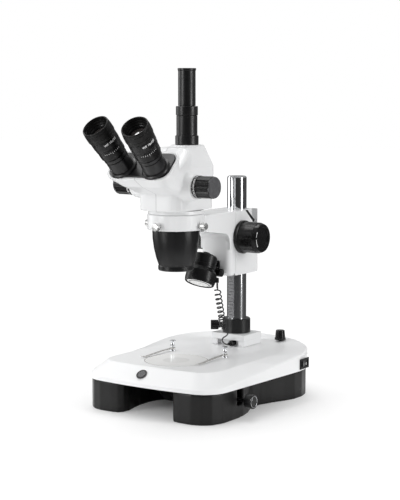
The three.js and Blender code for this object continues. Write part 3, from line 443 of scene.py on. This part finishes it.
def lamp_diffuser():
    look = Look("lamp_diffuser", (0.86, 0.86, 0.85), 0.25, Coat_Weight=0.6, Coat_Roughness=0.04)
    out = look.radius(LAMP_TOP, LAMP_LINE)
    look.uneven(0.004, 0.06)
    look.tinted(look.ramp(look.noise(0.003, 4), 0.4, 0.7), (0.75, 0.75, 0.74), 0.35)
    inside, outside = look.ramp(out, 0.0145, 0.0150), look.ramp(out, 0.0172, 0.0177, 1.0, 0.0)
    look.tinted(look.math("MULTIPLY", inside, outside), (0.02, 0.02, 0.021))
    look.raised(look.math("SINE", look.math("MULTIPLY", out, 2 * math.pi / 0.0015)), 0.00003)
    return look.done()


def lens_glass():
    """Coated glass seen against the dark of the tube."""
    look = Look("lens_glass", (0.035, 0.03, 0.028), 0.03, Coat_Weight=1.0, Coat_Roughness=0.01)
    look.set("IOR", 1.75)
    look.set("Coat IOR", 1.9)
    look.tinted(look.ramp(look.noise(0.01, 3), 0.4, 0.7), (0.09, 0.07, 0.075), 0.5)
    look.raised(look.noise(0.004, 1), 0.000002)
    return look.done()


def mirror_face():
    look = Look("mirror_face", (0.9, 0.91, 0.92), 0.02, metallic=1.0)
    look.uneven(0.01, 0.015)
    look.tinted(look.ramp(look.noise(0.02, 5), 0.5, 0.8), (0.75, 0.76, 0.78), 0.3)
    return look.done()


def circuit_board():
    look = Look("circuit_board", (0.02, 0.16, 0.06), 0.35)
    look.tinted(look.ramp(look.cells(0.004), 0.1, 0.3), (0.05, 0.3, 0.12), 0.6)
    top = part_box("driver_board")[0].z + 5.0 * MM
    look.tinted(look.ramp(look.along(Vector((0, 0, top)), UP), 0.0, 0.0006), (0.03, 0.03, 0.035))
    look.raised(look.noise(0.001, 3), 0.00003)
    return look.done()


def cord_vinyl():
    look = Look("cord_vinyl", (0.014, 0.014, 0.015), 0.4)
    look.uneven(0.003, 0.08)
    look.tinted(look.ramp(look.noise(0.003, 4), 0.45, 0.8), (0.035, 0.035, 0.036), 0.5)
    look.raised(look.noise(0.0004, 2), 0.00001)
    return look.done()


def white_print():
    look = Look("white_print", (0.8, 0.8, 0.8), 0.5)
    look.tinted(look.ramp(look.noise(0.0006, 4), 0.5, 0.75), (0.45, 0.45, 0.45), 0.5)
    return look.done()


def cap_grey():
    """Dull turned cap on the zoom knobs."""
    look = Look("cap_grey", (0.10, 0.10, 0.105), 0.4, metallic=0.3)
    out = look.radius(*ZOOM_AXIS)
    look.raised(look.math("SINE", look.math("MULTIPLY", out, 2 * math.pi / 0.0006)), 0.00002)
    look.tinted(look.ramp(look.noise(0.004, 4), 0.4, 0.7), (0.16, 0.16, 0.165), 0.5)
    return look.done()


def badge_face():
    look = Look("badge_face", (0.03, 0.03, 0.031), 0.35, metallic=0.3)
    origin, direction = centre_axis("front_badge", BADGE_NORMAL)
    out = look.radius(origin, direction)
    look.tinted(look.ramp(out, 0.0070, 0.0073), (0.012, 0.012, 0.013))
    lines = look.math("SINE", look.math("MULTIPLY", look.along(origin, RIGHT), 2 * math.pi / 0.0018))
    inner = look.ramp(out, 0.0060, 0.0064, 1.0, 0.0)
    look.tinted(look.math("MULTIPLY", look.ramp(lines, 0.2, 0.6), inner), (0.3, 0.3, 0.31), 0.7)
    look.raised(look.noise(0.001, 2), 0.00002)
    return look.done()


# ---- shaping -------------------------------------------------------------------------------------

WIDEST_STEP = math.radians(31)
FINEST_STEP = math.radians(5)
SAME = 0.00005
SMALLEST_R = 0.001


def paint(obj, material):
    obj.data.materials.clear()
    obj.data.materials.append(material)
    return obj


def shaded(obj, angle=35):
    for face in obj.data.polygons:
        face.use_smooth = True
    obj.data.set_sharp_from_angle(angle=math.radians(angle))
    return obj


def bevelled(obj, width, segments=2, angle=32):
    if width > 0:
        bevel = obj.modifiers.new("edges", "BEVEL")
        bevel.width = width
        bevel.segments = segments
        bevel.limit_method = "ANGLE"
        bevel.angle_limit = math.radians(angle)
        normals = obj.modifiers.new("normals", "WEIGHTED_NORMAL")
        normals.keep_sharp = True
    return obj


def round_walls(bm, origin, direction):
    """Turns the chords of a faceted round wall into arcs about a line."""
    reach = bm.verts.layers.float.new("reach")

    def polar(vert):
        rel = vert.co - origin
        height = rel.dot(direction)
        out = rel - direction * height
        return height, out

    for vert in bm.verts:
        vert[reach] = polar(vert)[1].length
    groups = {}
    for edge in bm.edges:
        (za, a), (zb, b) = polar(edge.verts[0]), polar(edge.verts[1])
        if abs(za - zb) > SAME or abs(a.length - b.length) > SAME or min(a.length, b.length) < SMALLEST_R:
            continue
        step = a.angle(b)
        if FINEST_STEP * 1.2 < step < WIDEST_STEP:
            groups.setdefault(math.ceil(step / FINEST_STEP) - 1, []).append(edge)
    for cuts, edges in sorted(groups.items()):
        made = bmesh.ops.subdivide_edges(bm, edges=edges, cuts=cuts, use_grid_fill=True)
        for vert in made["geom_inner"]:
            if isinstance(vert, bmesh.types.BMVert):
                height, out = polar(vert)
                if out.length > 1e-6:
                    vert.co = origin + direction * height + out.normalized() * vert[reach]
    bm.verts.layers.float.remove(reach)


def meshed(name, bm):
    """A new object in the scene with this mesh."""
    mesh = bpy.data.meshes.new(name)
    bm.to_mesh(mesh)
    bm.free()
    obj = bpy.data.objects.new(name, mesh)
    bpy.context.scene.collection.objects.link(obj)
    return obj


def piece(name, bm, body, material):
    """A new mesh piece that rides on a body."""
    bm.normal_update()
    obj = meshed(name, bm)
    paint(obj, material)
    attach(obj, body)
    return obj


def cleaned(*names):
    """The CAD nodes' shape with its triangles merged back into whole faces."""
    bm = bmesh.new()
    for name in names:
        bm.from_mesh(nodes[name].data)
    bmesh.ops.remove_doubles(bm, verts=bm.verts, dist=1e-6)
    bmesh.ops.dissolve_limit(bm, angle_limit=math.radians(0.6), verts=bm.verts, edges=bm.edges)
    return bm


def turned(name, material, *axes, bevel=0.0003):
    """A CAD node made truly round about its axes, with softened edges."""
    bm = cleaned(name)
    for origin, direction in axes:
        round_walls(bm, origin, direction)
    obj = piece(f"{name}_fine", bm, body_of(name), material)
    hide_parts(name)
    return bevelled(shaded(obj), bevel)


def edged(name, material, bevel=0.0004):
    """A flat-sided CAD node with softened edges."""
    obj = piece(f"{name}_fine", cleaned(name), body_of(name), material)
    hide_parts(name)
    return bevelled(shaded(obj), bevel)


def moulded(name, material, sources, voxel, rounds):
    """One soft-edged moulding in place of one or more CAD nodes."""
    bm = bmesh.new()
    for source in sources:
        bm.from_mesh(nodes[source].data)
    obj = piece(name, bm, body_of(sources[0]), material)
    remesh = obj.modifiers.new("skin", "REMESH")
    remesh.mode = "VOXEL"
    remesh.voxel_size = voxel
    soft = obj.modifiers.new("soft", "SMOOTH")
    soft.factor = 0.5
    soft.iterations = rounds
    graph = bpy.context.evaluated_depsgraph_get()
    mesh = bpy.data.meshes.new_from_object(obj.evaluated_get(graph))
    obj.modifiers.clear()
    obj.data = mesh
    for face in mesh.polygons:
        face.use_smooth = True
    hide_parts(*sources)
    return paint(obj, material)


# ---- marks printed or moulded on round parts -----------------------------------------------------

MARK_LIFT = 0.00012
RIM_LIFT = 0.00006
FACE_LIFT = 0.00008
ZOOM_RING_R = 17.3 * MM
ZOOM_RING_START = 58.8 * MM
EYEPIECE_R = 20.9 * MM
DIOPTER_RING_R = 19.8 * MM
FOCUS_ARROW_R = 19.9 * MM
# How far each eyetube's line starts below the joint of its setting ring, in millimetres.
TUBE_ROOT_MM = 40


def square_to(direction, hint):
    """Two directions square to a line: towards the hint, and a quarter turn on."""
    first = (hint - direction * hint.dot(direction)).normalized()
    return first, direction.cross(first)


def on_drum(axis, hint, radius, angle, height):
    first, second = square_to(axis[1], hint)
    return axis[0] + axis[1] * height + (first * math.cos(angle) + second * math.sin(angle)) * radius


def text_mesh(text, size):
    """Flat letters as triangles, centred, in metres."""
    data = bpy.data.curves.new("letters", "FONT")
    data.body = text
    data.size = size
    data.align_x = "CENTER"
    data.align_y = "CENTER"
    data.resolution_u = 3
    data.offset = size * 0.03
    obj = bpy.data.objects.new("letters", data)
    bpy.context.scene.collection.objects.link(obj)
    bpy.context.view_layer.update()
    mesh = bpy.data.meshes.new_from_object(obj.evaluated_get(bpy.context.evaluated_depsgraph_get()))
    bpy.data.objects.remove(obj)
    return mesh


def drum_text(bm, text, size, axis, hint, radius, angle, height):
    """Letters round a drum, their tops towards the far end of its axis."""
    mesh = text_mesh(text, size)
    start = len(bm.verts)
    bm.from_mesh(mesh)
    bm.verts.ensure_lookup_table()
    for vert in bm.verts[start:]:
        vert.co = on_drum(axis, hint, radius, angle + vert.co.x / radius, height + vert.co.y)


def drum_tick(bm, axis, hint, radius, angle, low, high, width):
    half = width / 2 / radius
    corners = [(angle - half, low), (angle + half, low), (angle + half, high), (angle - half, high)]
    bm.faces.new([bm.verts.new(on_drum(axis, hint, radius, a, h)) for a, h in corners])


def disc_arc(bm, axis, hint, height, inner, outer, start, end, steps=24):
    """A thin ring sector lying square to the axis."""
    rows = []
    for i in range(steps + 1):
        angle = start + (end - start) * i / steps
        rows.append([bm.verts.new(on_drum(axis, hint, r, angle, height)) for r in (inner, outer)])
    for a, b in zip(rows, rows[1:]):
        bm.faces.new([a[0], a[1], b[1], b[0]])


ZOOM_SCALE = (
    "0.7", "0.8", "0.9", "1", "1.2", "1.4", "1.6", "1.8", "2", "2.2",
    "2.4", "2.6", "2.8", "3", "3.2", "3.5", "3.8", "4", "4.2", "4.5",
)


def zoom_marks(side, sign, print_white):
    """Numbers and ticks round the scale ring of a zoom knob."""
    axis = (ZOOM_AXIS[0], ZOOM_AXIS[1] * sign)
    radius = ZOOM_RING_R + MARK_LIFT
    inner = ZOOM_RING_START
    step = 2 * math.pi / len(ZOOM_SCALE)
    bm = bmesh.new()
    for i, number in enumerate(ZOOM_SCALE):
        angle = -step * i
        drum_text(bm, number, 4.2 * MM, axis, BACK * -1, radius, angle, inner + 3.4 * MM)
        drum_tick(bm, axis, BACK * -1, radius, angle, inner, inner + 1.0 * MM, 0.6 * MM)
    piece(f"zoom_scale_{side}", bm, "zoom_drive", print_white)


def eyepiece_marks(side, print_white):
    """Field numbers on the eyepiece and the setting ticks on its ring."""
    axis = TUBE_AXIS[side]
    out, base = EYEPIECE_R + MARK_LIFT, -TUBE_ROOT_MM * MM
    bm = bmesh.new()
    for turn in (0, 180):
        start = math.radians(turn - 24)
        drum_text(bm, "WF 10x/20", 5.0 * MM, axis, FACE_NORMAL + RIGHT, out, start, base + 62.5 * MM)
    piece(f"eyepiece_marks_{side}", bm, f"ocular_{side}", print_white)
    bm = bmesh.new()
    ring = DIOPTER_RING_R + MARK_LIFT
    for k in range(-4, 5):
        height = base + 45.2 * MM
        low = height if k else height - 1.6 * MM
        angle = math.radians(9 * k - 40)
        drum_tick(bm, axis, FACE_NORMAL + RIGHT, ring, angle, low, height + 2.2 * MM, 0.6 * MM)
    piece(f"diopter_marks_{side}", bm, f"diopter_{side}", print_white)


def focus_marks(side, sign, print_white):
    """White turning arrows on the rim of a focus knob."""
    axis = (FOCUS_AXIS[0], FOCUS_AXIS[1] * sign)
    height = abs(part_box(f"focus_knob_{side}")[0 if sign < 0 else 1].x - FOCUS_AXIS[0].x) + RIM_LIFT
    middle = FOCUS_ARROW_R
    bm = bmesh.new()
    for start, end in ((62, 82), (92, 124)):
        first, last = math.radians(start) * sign, math.radians(end) * sign
        disc_arc(bm, axis, UP, height, middle - 0.55 * MM, middle + 0.55 * MM, first, last)
    for tip, heel in ((54, 62), (132, 124)):
        point = on_drum(axis, UP, middle, math.radians(tip) * sign, height)
        radii = (middle - 1.5 * MM, middle + 1.5 * MM)
        ends = [on_drum(axis, UP, r, math.radians(heel) * sign, height) for r in radii]
        bm.faces.new([bm.verts.new(v) for v in (point, *ends)])
    piece(f"focus_arrows_{side}", bm, "focus_drive", print_white)


def flat_letter(bm, letter, size, centre, across, upward):
    """A letter on a flat face."""
    start = len(bm.verts)
    bm.from_mesh(text_mesh(letter, size))
    bm.verts.ensure_lookup_table()
    for vert in bm.verts[start:]:
        vert.co = centre + across * vert.co.x + upward * vert.co.y


def switch_marks(print_white):
    """The bar and ring of an on-off switch, on the rocker's two halves."""
    faces = [f for f in nodes["switch_rocker"].data.polygons if f.normal.x > 0.6]
    bm = bmesh.new()
    for letter, sign in (("I", -1), ("O", 1)):
        half = [f for f in faces if (f.center.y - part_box("switch_rocker")[0].y > 0.009) == (sign > 0)]
        face = max(half or faces, key=lambda f: f.area)
        upward, _ = square_to(face.normal, UP)
        across = upward.cross(face.normal)
        spot = face.center + across * (0 if half else 4 * MM * sign)
        flat_letter(bm, letter, 5 * MM, spot + face.normal * FACE_LIFT, across, upward)
    piece("switch_marks", bm, "rocker", print_white)


def round_ring(name, axis, height, radius, thickness, body, material, sides=48):
    """A thin ring of round wire square to an axis."""
    line = [on_drum(axis, UP, radius, 2 * math.pi * i / sides, height) for i in range(sides)]
    bm = bmesh.new()
    rows = []
    for i, middle in enumerate(line):
        out = (middle - axis[0] - axis[1] * height).normalized()
        turns = [2 * math.pi * k / 8 for k in range(8)]
        spokes = [out * math.cos(t) + axis[1] * math.sin(t) for t in turns]
        rows.append([bm.verts.new(middle + spoke * thickness) for spoke in spokes])
    for a, b in zip(rows, rows[1:] + rows[:1]):
        for k in range(8):
            bm.faces.new([a[k], a[(k + 1) % 8], b[(k + 1) % 8], b[k]])
    bmesh.ops.recalc_face_normals(bm, faces=bm.faces)
    obj = shaded(piece(name, bm, body, material), 60)
    return obj


# ---- the lamp's curly lead -----------------------------------------------------------------------

COIL_ROUTE = [from_head(*p) for p in (
    (21.3, 83.9, 180.4), (20.5, 88, 167), (18.5, 96, 149), (15.5, 105.5, 129), (13, 114.5, 110.5),
)]
TAIL_ROUTE = [from_head(*p) for p in (
    (12.9, 115, 109.4), (14.8, 119.6, 105), (14.6, 125, 99.6), (9, 128.4, 95), (3.2, 128.2, 91),
    (1.8, 128.6, 86.4), (4.4, 130.2, 82), (8, 133.2, 80.2), (8, 137.4, 80.2),
)]
LEAD_BOOT = from_head(21.4, 83.4, 188.5)
COIL_OUTER = 5.9 * MM
LEAD_R = 1.05 * MM
BOOT_R = 1.5 * MM
COIL_TURNS = 11.5
LOOSE_TURNS = 6.6
LOOSE_SHARE = 0.7
POINTS_PER_TURN = 20


def flowing(points, steps):
    """A smooth line through the points, evenly stepped between them."""
    line = []
    ends = [points[0] * 2 - points[1], *points, points[-1] * 2 - points[-2]]
    for a, b, c, d in zip(ends, ends[1:], ends[2:], ends[3:]):
        for i in range(steps):
            t = i / steps
            line.append(0.5 * (
                2 * b + (c - a) * t + (2 * a - 5 * b + 4 * c - d) * t * t + (3 * b - a - 3 * c + d) * t ** 3
            ))
    line.append(points[-1].copy())
    return line


def respaced(line, count):
    """The same line with its points the same distance apart."""
    travelled = [0.0]
    for a, b in zip(line, line[1:]):
        travelled.append(travelled[-1] + (b - a).length)
    even, k = [], 0
    for i in range(count):
        want = travelled[-1] * i / (count - 1)
        while k + 2 < len(line) and travelled[k + 1] < want:
            k += 1
        share = (want - travelled[k]) / max(travelled[k + 1] - travelled[k], 1e-12)
        even.append(line[k].lerp(line[k + 1], min(max(share, 0.0), 1.0)))
    return even


def coil_turns(share):
    """Turns made by a share of the way down the coil: open at the top, bunched at the bottom."""
    if share < LOOSE_SHARE:
        return LOOSE_TURNS * share / LOOSE_SHARE
    return LOOSE_TURNS + (COIL_TURNS - LOOSE_TURNS) * (share - LOOSE_SHARE) / (1 - LOOSE_SHARE)


def lead_path():
    """The helix down the coil and then the loose tail to the plug."""
    count = int(COIL_TURNS * POINTS_PER_TURN * 1.5)
    spine = respaced(flowing(COIL_ROUTE, 24), count + 1)
    reach = COIL_OUTER - LEAD_R
    line = []
    for i, middle in enumerate(spine):
        ahead = spine[min(i + 1, count)] - spine[max(i - 1, 0)]
        first, second = square_to(ahead.normalized(), RIGHT)
        turned_by = coil_turns(i / count)
        left = min(turned_by, COIL_TURNS - turned_by) / 0.5
        near = reach * math.sin(min(left, 1.0) * math.pi / 2)
        angle = 2 * math.pi * turned_by
        line.append(middle + (first * math.cos(angle) + second * math.sin(angle)) * near)
    tail = respaced(flowing(TAIL_ROUTE, 12), 60)
    return line + tail


def swept(name, line, radius, material, sides=10):
    """A closed round tube along a line."""
    bm = bmesh.new()
    rings = []
    first = None
    for i, middle in enumerate(line):
        ahead = (line[min(i + 1, len(line) - 1)] - line[max(i - 1, 0)]).normalized()
        hint = RIGHT if first is None else first
        first, second = square_to(ahead, hint)
        ring = []
        for k in range(sides):
            angle = 2 * math.pi * k / sides
            ring.append(bm.verts.new(middle + (first * math.cos(angle) + second * math.sin(angle)) * radius))
        rings.append(ring)
    for a, b in zip(rings, rings[1:]):
        for k in range(sides):
            bm.faces.new([a[k], a[(k + 1) % sides], b[(k + 1) % sides], b[k]])
    bm.faces.new(list(reversed(rings[0])))
    bm.faces.new(rings[-1])
    obj = meshed(name, bm)
    for face in obj.data.polygons:
        face.use_smooth = True
    return paint(obj, material)


def make_lead(vinyl, plug_look):
    line = lead_path()
    plug = turned("lead_plug", plug_look, centre_axis("lead_plug", BACK))
    lead = swept("lamp_lead", line, LEAD_R, vinyl)
    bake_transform(lead, "base", "arm", start=COIL_ROUTE[-1], end=COIL_ROUTE[0])
    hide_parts("lead_coil", "lead_tail")
    boot = swept("lead_boot", [LEAD_BOOT, line[0]], BOOT_R, vinyl)
    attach(boot, "lamp")


# ---- room ----------------------------------------------------------------------------------------

SWEEP_NEAR, SWEEP_FAR = 0.0, 0.4
# Past these radii the floor is painted near black for all light bounced off it: painted shade where the
# lamps' light falls off.
FLOOR_SHADE_NEAR, FLOOR_SHADE_FAR = 0.7, 1.1
# Past these radii the floor is painted near black in reflections only: painted shade for the chrome and the
# black parts to mirror.
REFLECTED_SHADE_NEAR, REFLECTED_SHADE_FAR = 0.4, 0.6
ROOM_LOW, ROOM_HIGH = 0.26, 0.5
FILL_LOW, FILL_HIGH = 0.48, 0.56
DARK_SIDE = (0.564, -0.826, 0)
DARK_FROM, DARK_FULL, DARK_LEVEL = 0.55, 0.9, 0.15
HORIZON, OVERHEAD = -0.1, 0.9
FLOOR_SIZE = 9
FLOOR_DROP = 0.0002
# Each light: its name, where it stands, what it faces, its width and height, its power.
LIGHTS = (
    ("key", (-1.25, -2.1, 0.85), (0, 0, 0.3), (1.1, 1.5), 14),
    ("strip", (-0.46, -1.22, 0.5), (0, 0, 0.42), (0.2, 1.0), 3.0),
    ("edge", (1.25, 0.2, 0.5), (0, 0, 0.42), (0.1, 1.0), 1.6),
    ("left", (-2.2, -0.4, 0.7), (0, 0, 0.5), (1.0, 1.7), 12),
    ("side", (2.2, 0.3, 0.75), (0, 0, 0.5), (0.7, 1.9), 20),
    ("top", (-0.5, 0.45, 2.1), (0, 0, 0.2), (1.0, 1.0), 14),
    ("glare", (-0.95, -0.43, 2.0), (0, -0.1, 0.48), (1.0, 0.4), 5),
)


def area_light(name, at, towards, size, power):
    data = bpy.data.lights.new(name, "AREA")
    data.shape = "RECTANGLE"
    data.size, data.size_y = size
    data.energy = power
    light = bpy.data.objects.new(name, data)
    light.location = at
    light.rotation_mode = "QUATERNION"
    light.rotation_quaternion = (Vector(towards) - Vector(at)).to_track_quat("-Z", "Y")
    bpy.context.scene.collection.objects.link(light)


def make_floor():
    bm = bmesh.new()
    bmesh.ops.create_grid(bm, x_segments=1, y_segments=1, size=FLOOR_SIZE)
    floor = meshed("floor", bm)
    floor.location.z = -FLOOR_DROP
    look = Look("floor", (0.93, 0.93, 0.93), 0.6)
    look.tinted(look.ramp(look.noise(0.4, 3), 0.35, 0.7), (0.91, 0.91, 0.91), 0.3)
    out = look.radius(Vector(), UP)
    seen = look.add("ShaderNodeLightPath").outputs["Is Camera Ray"]
    shown = look.math("MULTIPLY", look.ramp(out, SWEEP_NEAR, SWEEP_FAR), seen)
    mirrored = look.add("ShaderNodeLightPath").outputs["Is Glossy Ray"]
    reflected_shade = look.math("MULTIPLY", look.ramp(out, REFLECTED_SHADE_NEAR, REFLECTED_SHADE_FAR), mirrored)
    far = look.math("MAXIMUM", look.ramp(out, FLOOR_SHADE_NEAR, FLOOR_SHADE_FAR), reflected_shade)
    # Painted shade: past those radii the floor's colour goes near black; camera rays still see it glow white
    # beyond the sweep.
    look.tinted(look.math("MAXIMUM", shown, far), (0.03, 0.03, 0.03))
    look.set("Emission Color", (1, 1, 1, 1))
    look.plug(look.shader.inputs["Emission Strength"], shown)
    paint(floor, look.done())


def make_world():
    """White behind the instrument, and a dim room, brighter overhead and dark towards the front right."""
    world = bpy.data.worlds.new("studio")
    world.use_nodes = True
    tree = world.node_tree
    background = tree.nodes["Background"]
    background.inputs["Color"].default_value = (1, 1, 1, 1)
    towards = tree.nodes.new("ShaderNodeTexCoord").outputs["Generated"]
    height = tree.nodes.new("ShaderNodeSeparateXYZ")
    tree.links.new(towards, height.inputs[0])
    front = tree.nodes.new("ShaderNodeVectorMath")
    front.operation = "DOT_PRODUCT"
    tree.links.new(towards, front.inputs[0])
    front.inputs[1].default_value = DARK_SIDE

    def ranged(value, low, high, to_low, to_high):
        node = tree.nodes.new("ShaderNodeMapRange")
        for key, limit in (("From Min", low), ("From Max", high), ("To Min", to_low), ("To Max", to_high)):
            node.inputs[key].default_value = limit
        tree.links.new(value, node.inputs["Value"])
        return node.outputs[0]

    def joined(operation, a, b):
        node = tree.nodes.new("ShaderNodeMath")
        node.operation = operation
        tree.links.new(a, node.inputs[0])
        tree.links.new(b, node.inputs[1])
        return node.outputs[0]

    ray = tree.nodes.new("ShaderNodeLightPath").outputs
    fill = ranged(height.outputs["Z"], HORIZON, OVERHEAD, FILL_LOW, FILL_HIGH)
    flagged = ranged(front.outputs["Value"], DARK_FROM, DARK_FULL, 1.0, DARK_LEVEL)
    room = ranged(height.outputs["Z"], HORIZON, OVERHEAD, ROOM_LOW, ROOM_HIGH)
    mirrored = joined("MULTIPLY", room, flagged)
    glossy = joined("MULTIPLY", ray["Is Glossy Ray"], mirrored)
    unmirrored = ranged(ray["Is Glossy Ray"], 0.0, 1.0, 1.0, 0.0)
    lit = joined("ADD", glossy, joined("MULTIPLY", unmirrored, fill))
    strength = joined("MAXIMUM", ray["Is Camera Ray"], lit)
    tree.links.new(strength, background.inputs["Strength"])
    bpy.context.scene.world = world
    bpy.context.scene.view_settings.view_transform = "Standard"


# ---- making --------------------------------------------------------------------------------------


ZOOM_CAP_DEPTH = 2.2 * MM
# Fine turned bands of the eyepiece barrel: start, end and pitch, in metres along its line.
BARREL_BANDS = ((0.0485, 0.0535, 0.0009), (0.0635, 0.0675, 0.0011))
# Where the eyecup's two grooves lie along the same line, in metres.
CUP_GROOVES = (0.0745, 0.0835)


def make_base():
    edged("base_top_cover", white_plastic(), bevel=0.003)
    moulded("base_frame_skin", black_plastic(), ["base_frame"], voxel=1.5 * MM, rounds=10)
    turned("stage_plate", opal_plate(), centre_axis("stage_plate", UP), bevel=0.0002)
    turned("base_led_module", alloy(), centre_axis("base_led_module", BACK))
    edged("driver_board", circuit_board(), bevel=0.0002)
    edged("mirror_glass", mirror_face(), bevel=0.0003)
    turned("front_badge", badge_face(), centre_axis("front_badge", BADGE_NORMAL), bevel=0.0002)


def make_black_trim(gloss, grip, metal):
    edged("power_inlet", gloss, bevel=0.0005)
    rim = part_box("mirror_knob")[1].x - MIRROR_AXIS[0].x
    round_ring("mirror_knob_ring", MIRROR_AXIS, rim - 0.0005, 0.0086, 0.0004, "mirror", metal)
    edged("switch_bezel", gloss, bevel=0.0003)
    edged("switch_rocker", gloss, bevel=0.0004)
    turned("dimmer_knob", grip, DIMMER_AXIS)
    turned("mirror_knob", grip, MIRROR_AXIS)
    turned("mirror_tray", gloss, MIRROR_AXIS, bevel=0.0005)


def make_stand(enamel, metal, satin, grip):
    edged("pillar_bracket", enamel, bevel=0.0009)
    turned("pillar_collar", satin, PILLAR_AXIS, COLLAR_KNOB_AXIS, bevel=0.0003)
    turned("collar_knob", grip, COLLAR_KNOB_AXIS)
    turned("pillar", metal, PILLAR_AXIS, bevel=0.0004)
    edged("focus_block", enamel, bevel=0.0009)
    edged("block_lever", satin, bevel=0.0004)
    moulded("head_arm_skin", enamel, ["head_arm"], voxel=0.8 * MM, rounds=10)
    nickel = satin_nickel()
    for place in ("front", "right", "left"):
        turned(f"ring_screw_{place}", nickel, joint_axis(f"screw_{place}_turn"))
    spring = spring_steel()
    for side in SIDES:
        post = centre_axis(f"clip_post_{side}", UP)
        turned(f"clip_post_{side}", metal, post, bevel=0.0002)
        turned(f"clip_arm_{side}", spring, post, bevel=0.0001)
        turned(f"focus_knob_{side}", grip, FOCUS_AXIS, bevel=0.0006)


def make_head(satin, grip, glass, cap):
    moulded("head_shell", head_plastic(), ["head_shell_right", "head_shell_left"], voxel=0.9 * MM, rounds=22)
    turned("head_mount", white_enamel(), HEAD_AXIS)
    turned("nose_cone", satin, HEAD_AXIS, bevel=0.0005)
    turned("objective_window", glass, HEAD_AXIS, bevel=0.0002)
    edged("eyetube_panel", satin, bevel=0.0006)
    for side in SIDES:
        knob = turned(f"zoom_knob_{side}", grip, ZOOM_AXIS, bevel=0.0005)
        knob.data.materials.append(cap)
        outer = max(abs(v.co.x - ZOOM_AXIS[0].x) for v in knob.data.vertices)
        for face in knob.data.polygons:
            if abs(face.center.x - ZOOM_AXIS[0].x) > outer - ZOOM_CAP_DEPTH:
                face.material_index = 1


def make_tubes(satin, grip, glass):
    for side in SIDES:
        axis = TUBE_AXIS[side]
        origin = axis[0] - axis[1] * TUBE_ROOT_MM * MM
        foot = (origin, FACE_NORMAL)
        barrel = turned_barrel(f"barrel_{side}", (origin, axis[1]), BARREL_BANDS)
        turned(f"eyetube_{side}", satin, axis, foot)
        turned(f"diopter_ring_{side}", grip, axis)
        turned(f"eyepiece_{side}", barrel, axis)
        cup = rubber(f"rubber_{side}", (origin, axis[1]), CUP_GROOVES)
        turned(f"eyecup_{side}", cup, axis, bevel=0.0005)
        turned(f"eye_lens_{side}", glass, axis, bevel=0)
    turned("phototube_lower", satin, PHOTO_AXIS)
    turned("phototube_ring", satin, PHOTO_AXIS, bevel=0.0002)
    turned("phototube_upper", satin, PHOTO_AXIS)


def make_lamp(gloss, grip):
    line = (LAMP_TOP, LAMP_LINE)
    edged("lamp_bracket", gloss, bevel=0.0005)
    turned("lamp_body", gloss, line, LAMP_PIVOT, bevel=0.0005)
    turned("lamp_lens", lamp_diffuser(), line, bevel=0.0003)
    turned("lamp_knob", grip, LAMP_PIVOT)


def paint_hidden():
    """CAD nodes that keep their own surface."""
    dark_alloy = alloy("dark_alloy", (0.1, 0.1, 0.11))
    for name, material in (("pillar_rack", steel()), ("focus_pinion", steel()), ("zoom_optics", dark_alloy)):
        paint(shaded(nodes[name]), material)


make_camera()
make_world()
make_floor()
for light_name, stands, faces, extent, power in LIGHTS:
    area_light(light_name, stands, faces, extent, power)

enamel, gloss, satin, grip = white_enamel(), black_gloss(), black_satin(), black_grip()
metal, glass, cap, print_white = chrome(), lens_glass(), cap_grey(), white_print()
make_lead(cord_vinyl(), grip)
make_base()
make_black_trim(gloss, grip, metal)
make_stand(enamel, metal, satin, grip)
make_head(satin, grip, glass, cap)
make_tubes(satin, grip, glass)
make_lamp(gloss, grip)
paint_hidden()
for side, sign in SIDES.items():
    zoom_marks(side, sign, print_white)
    eyepiece_marks(side, print_white)
    focus_marks(side, sign, print_white)
switch_marks(print_white)
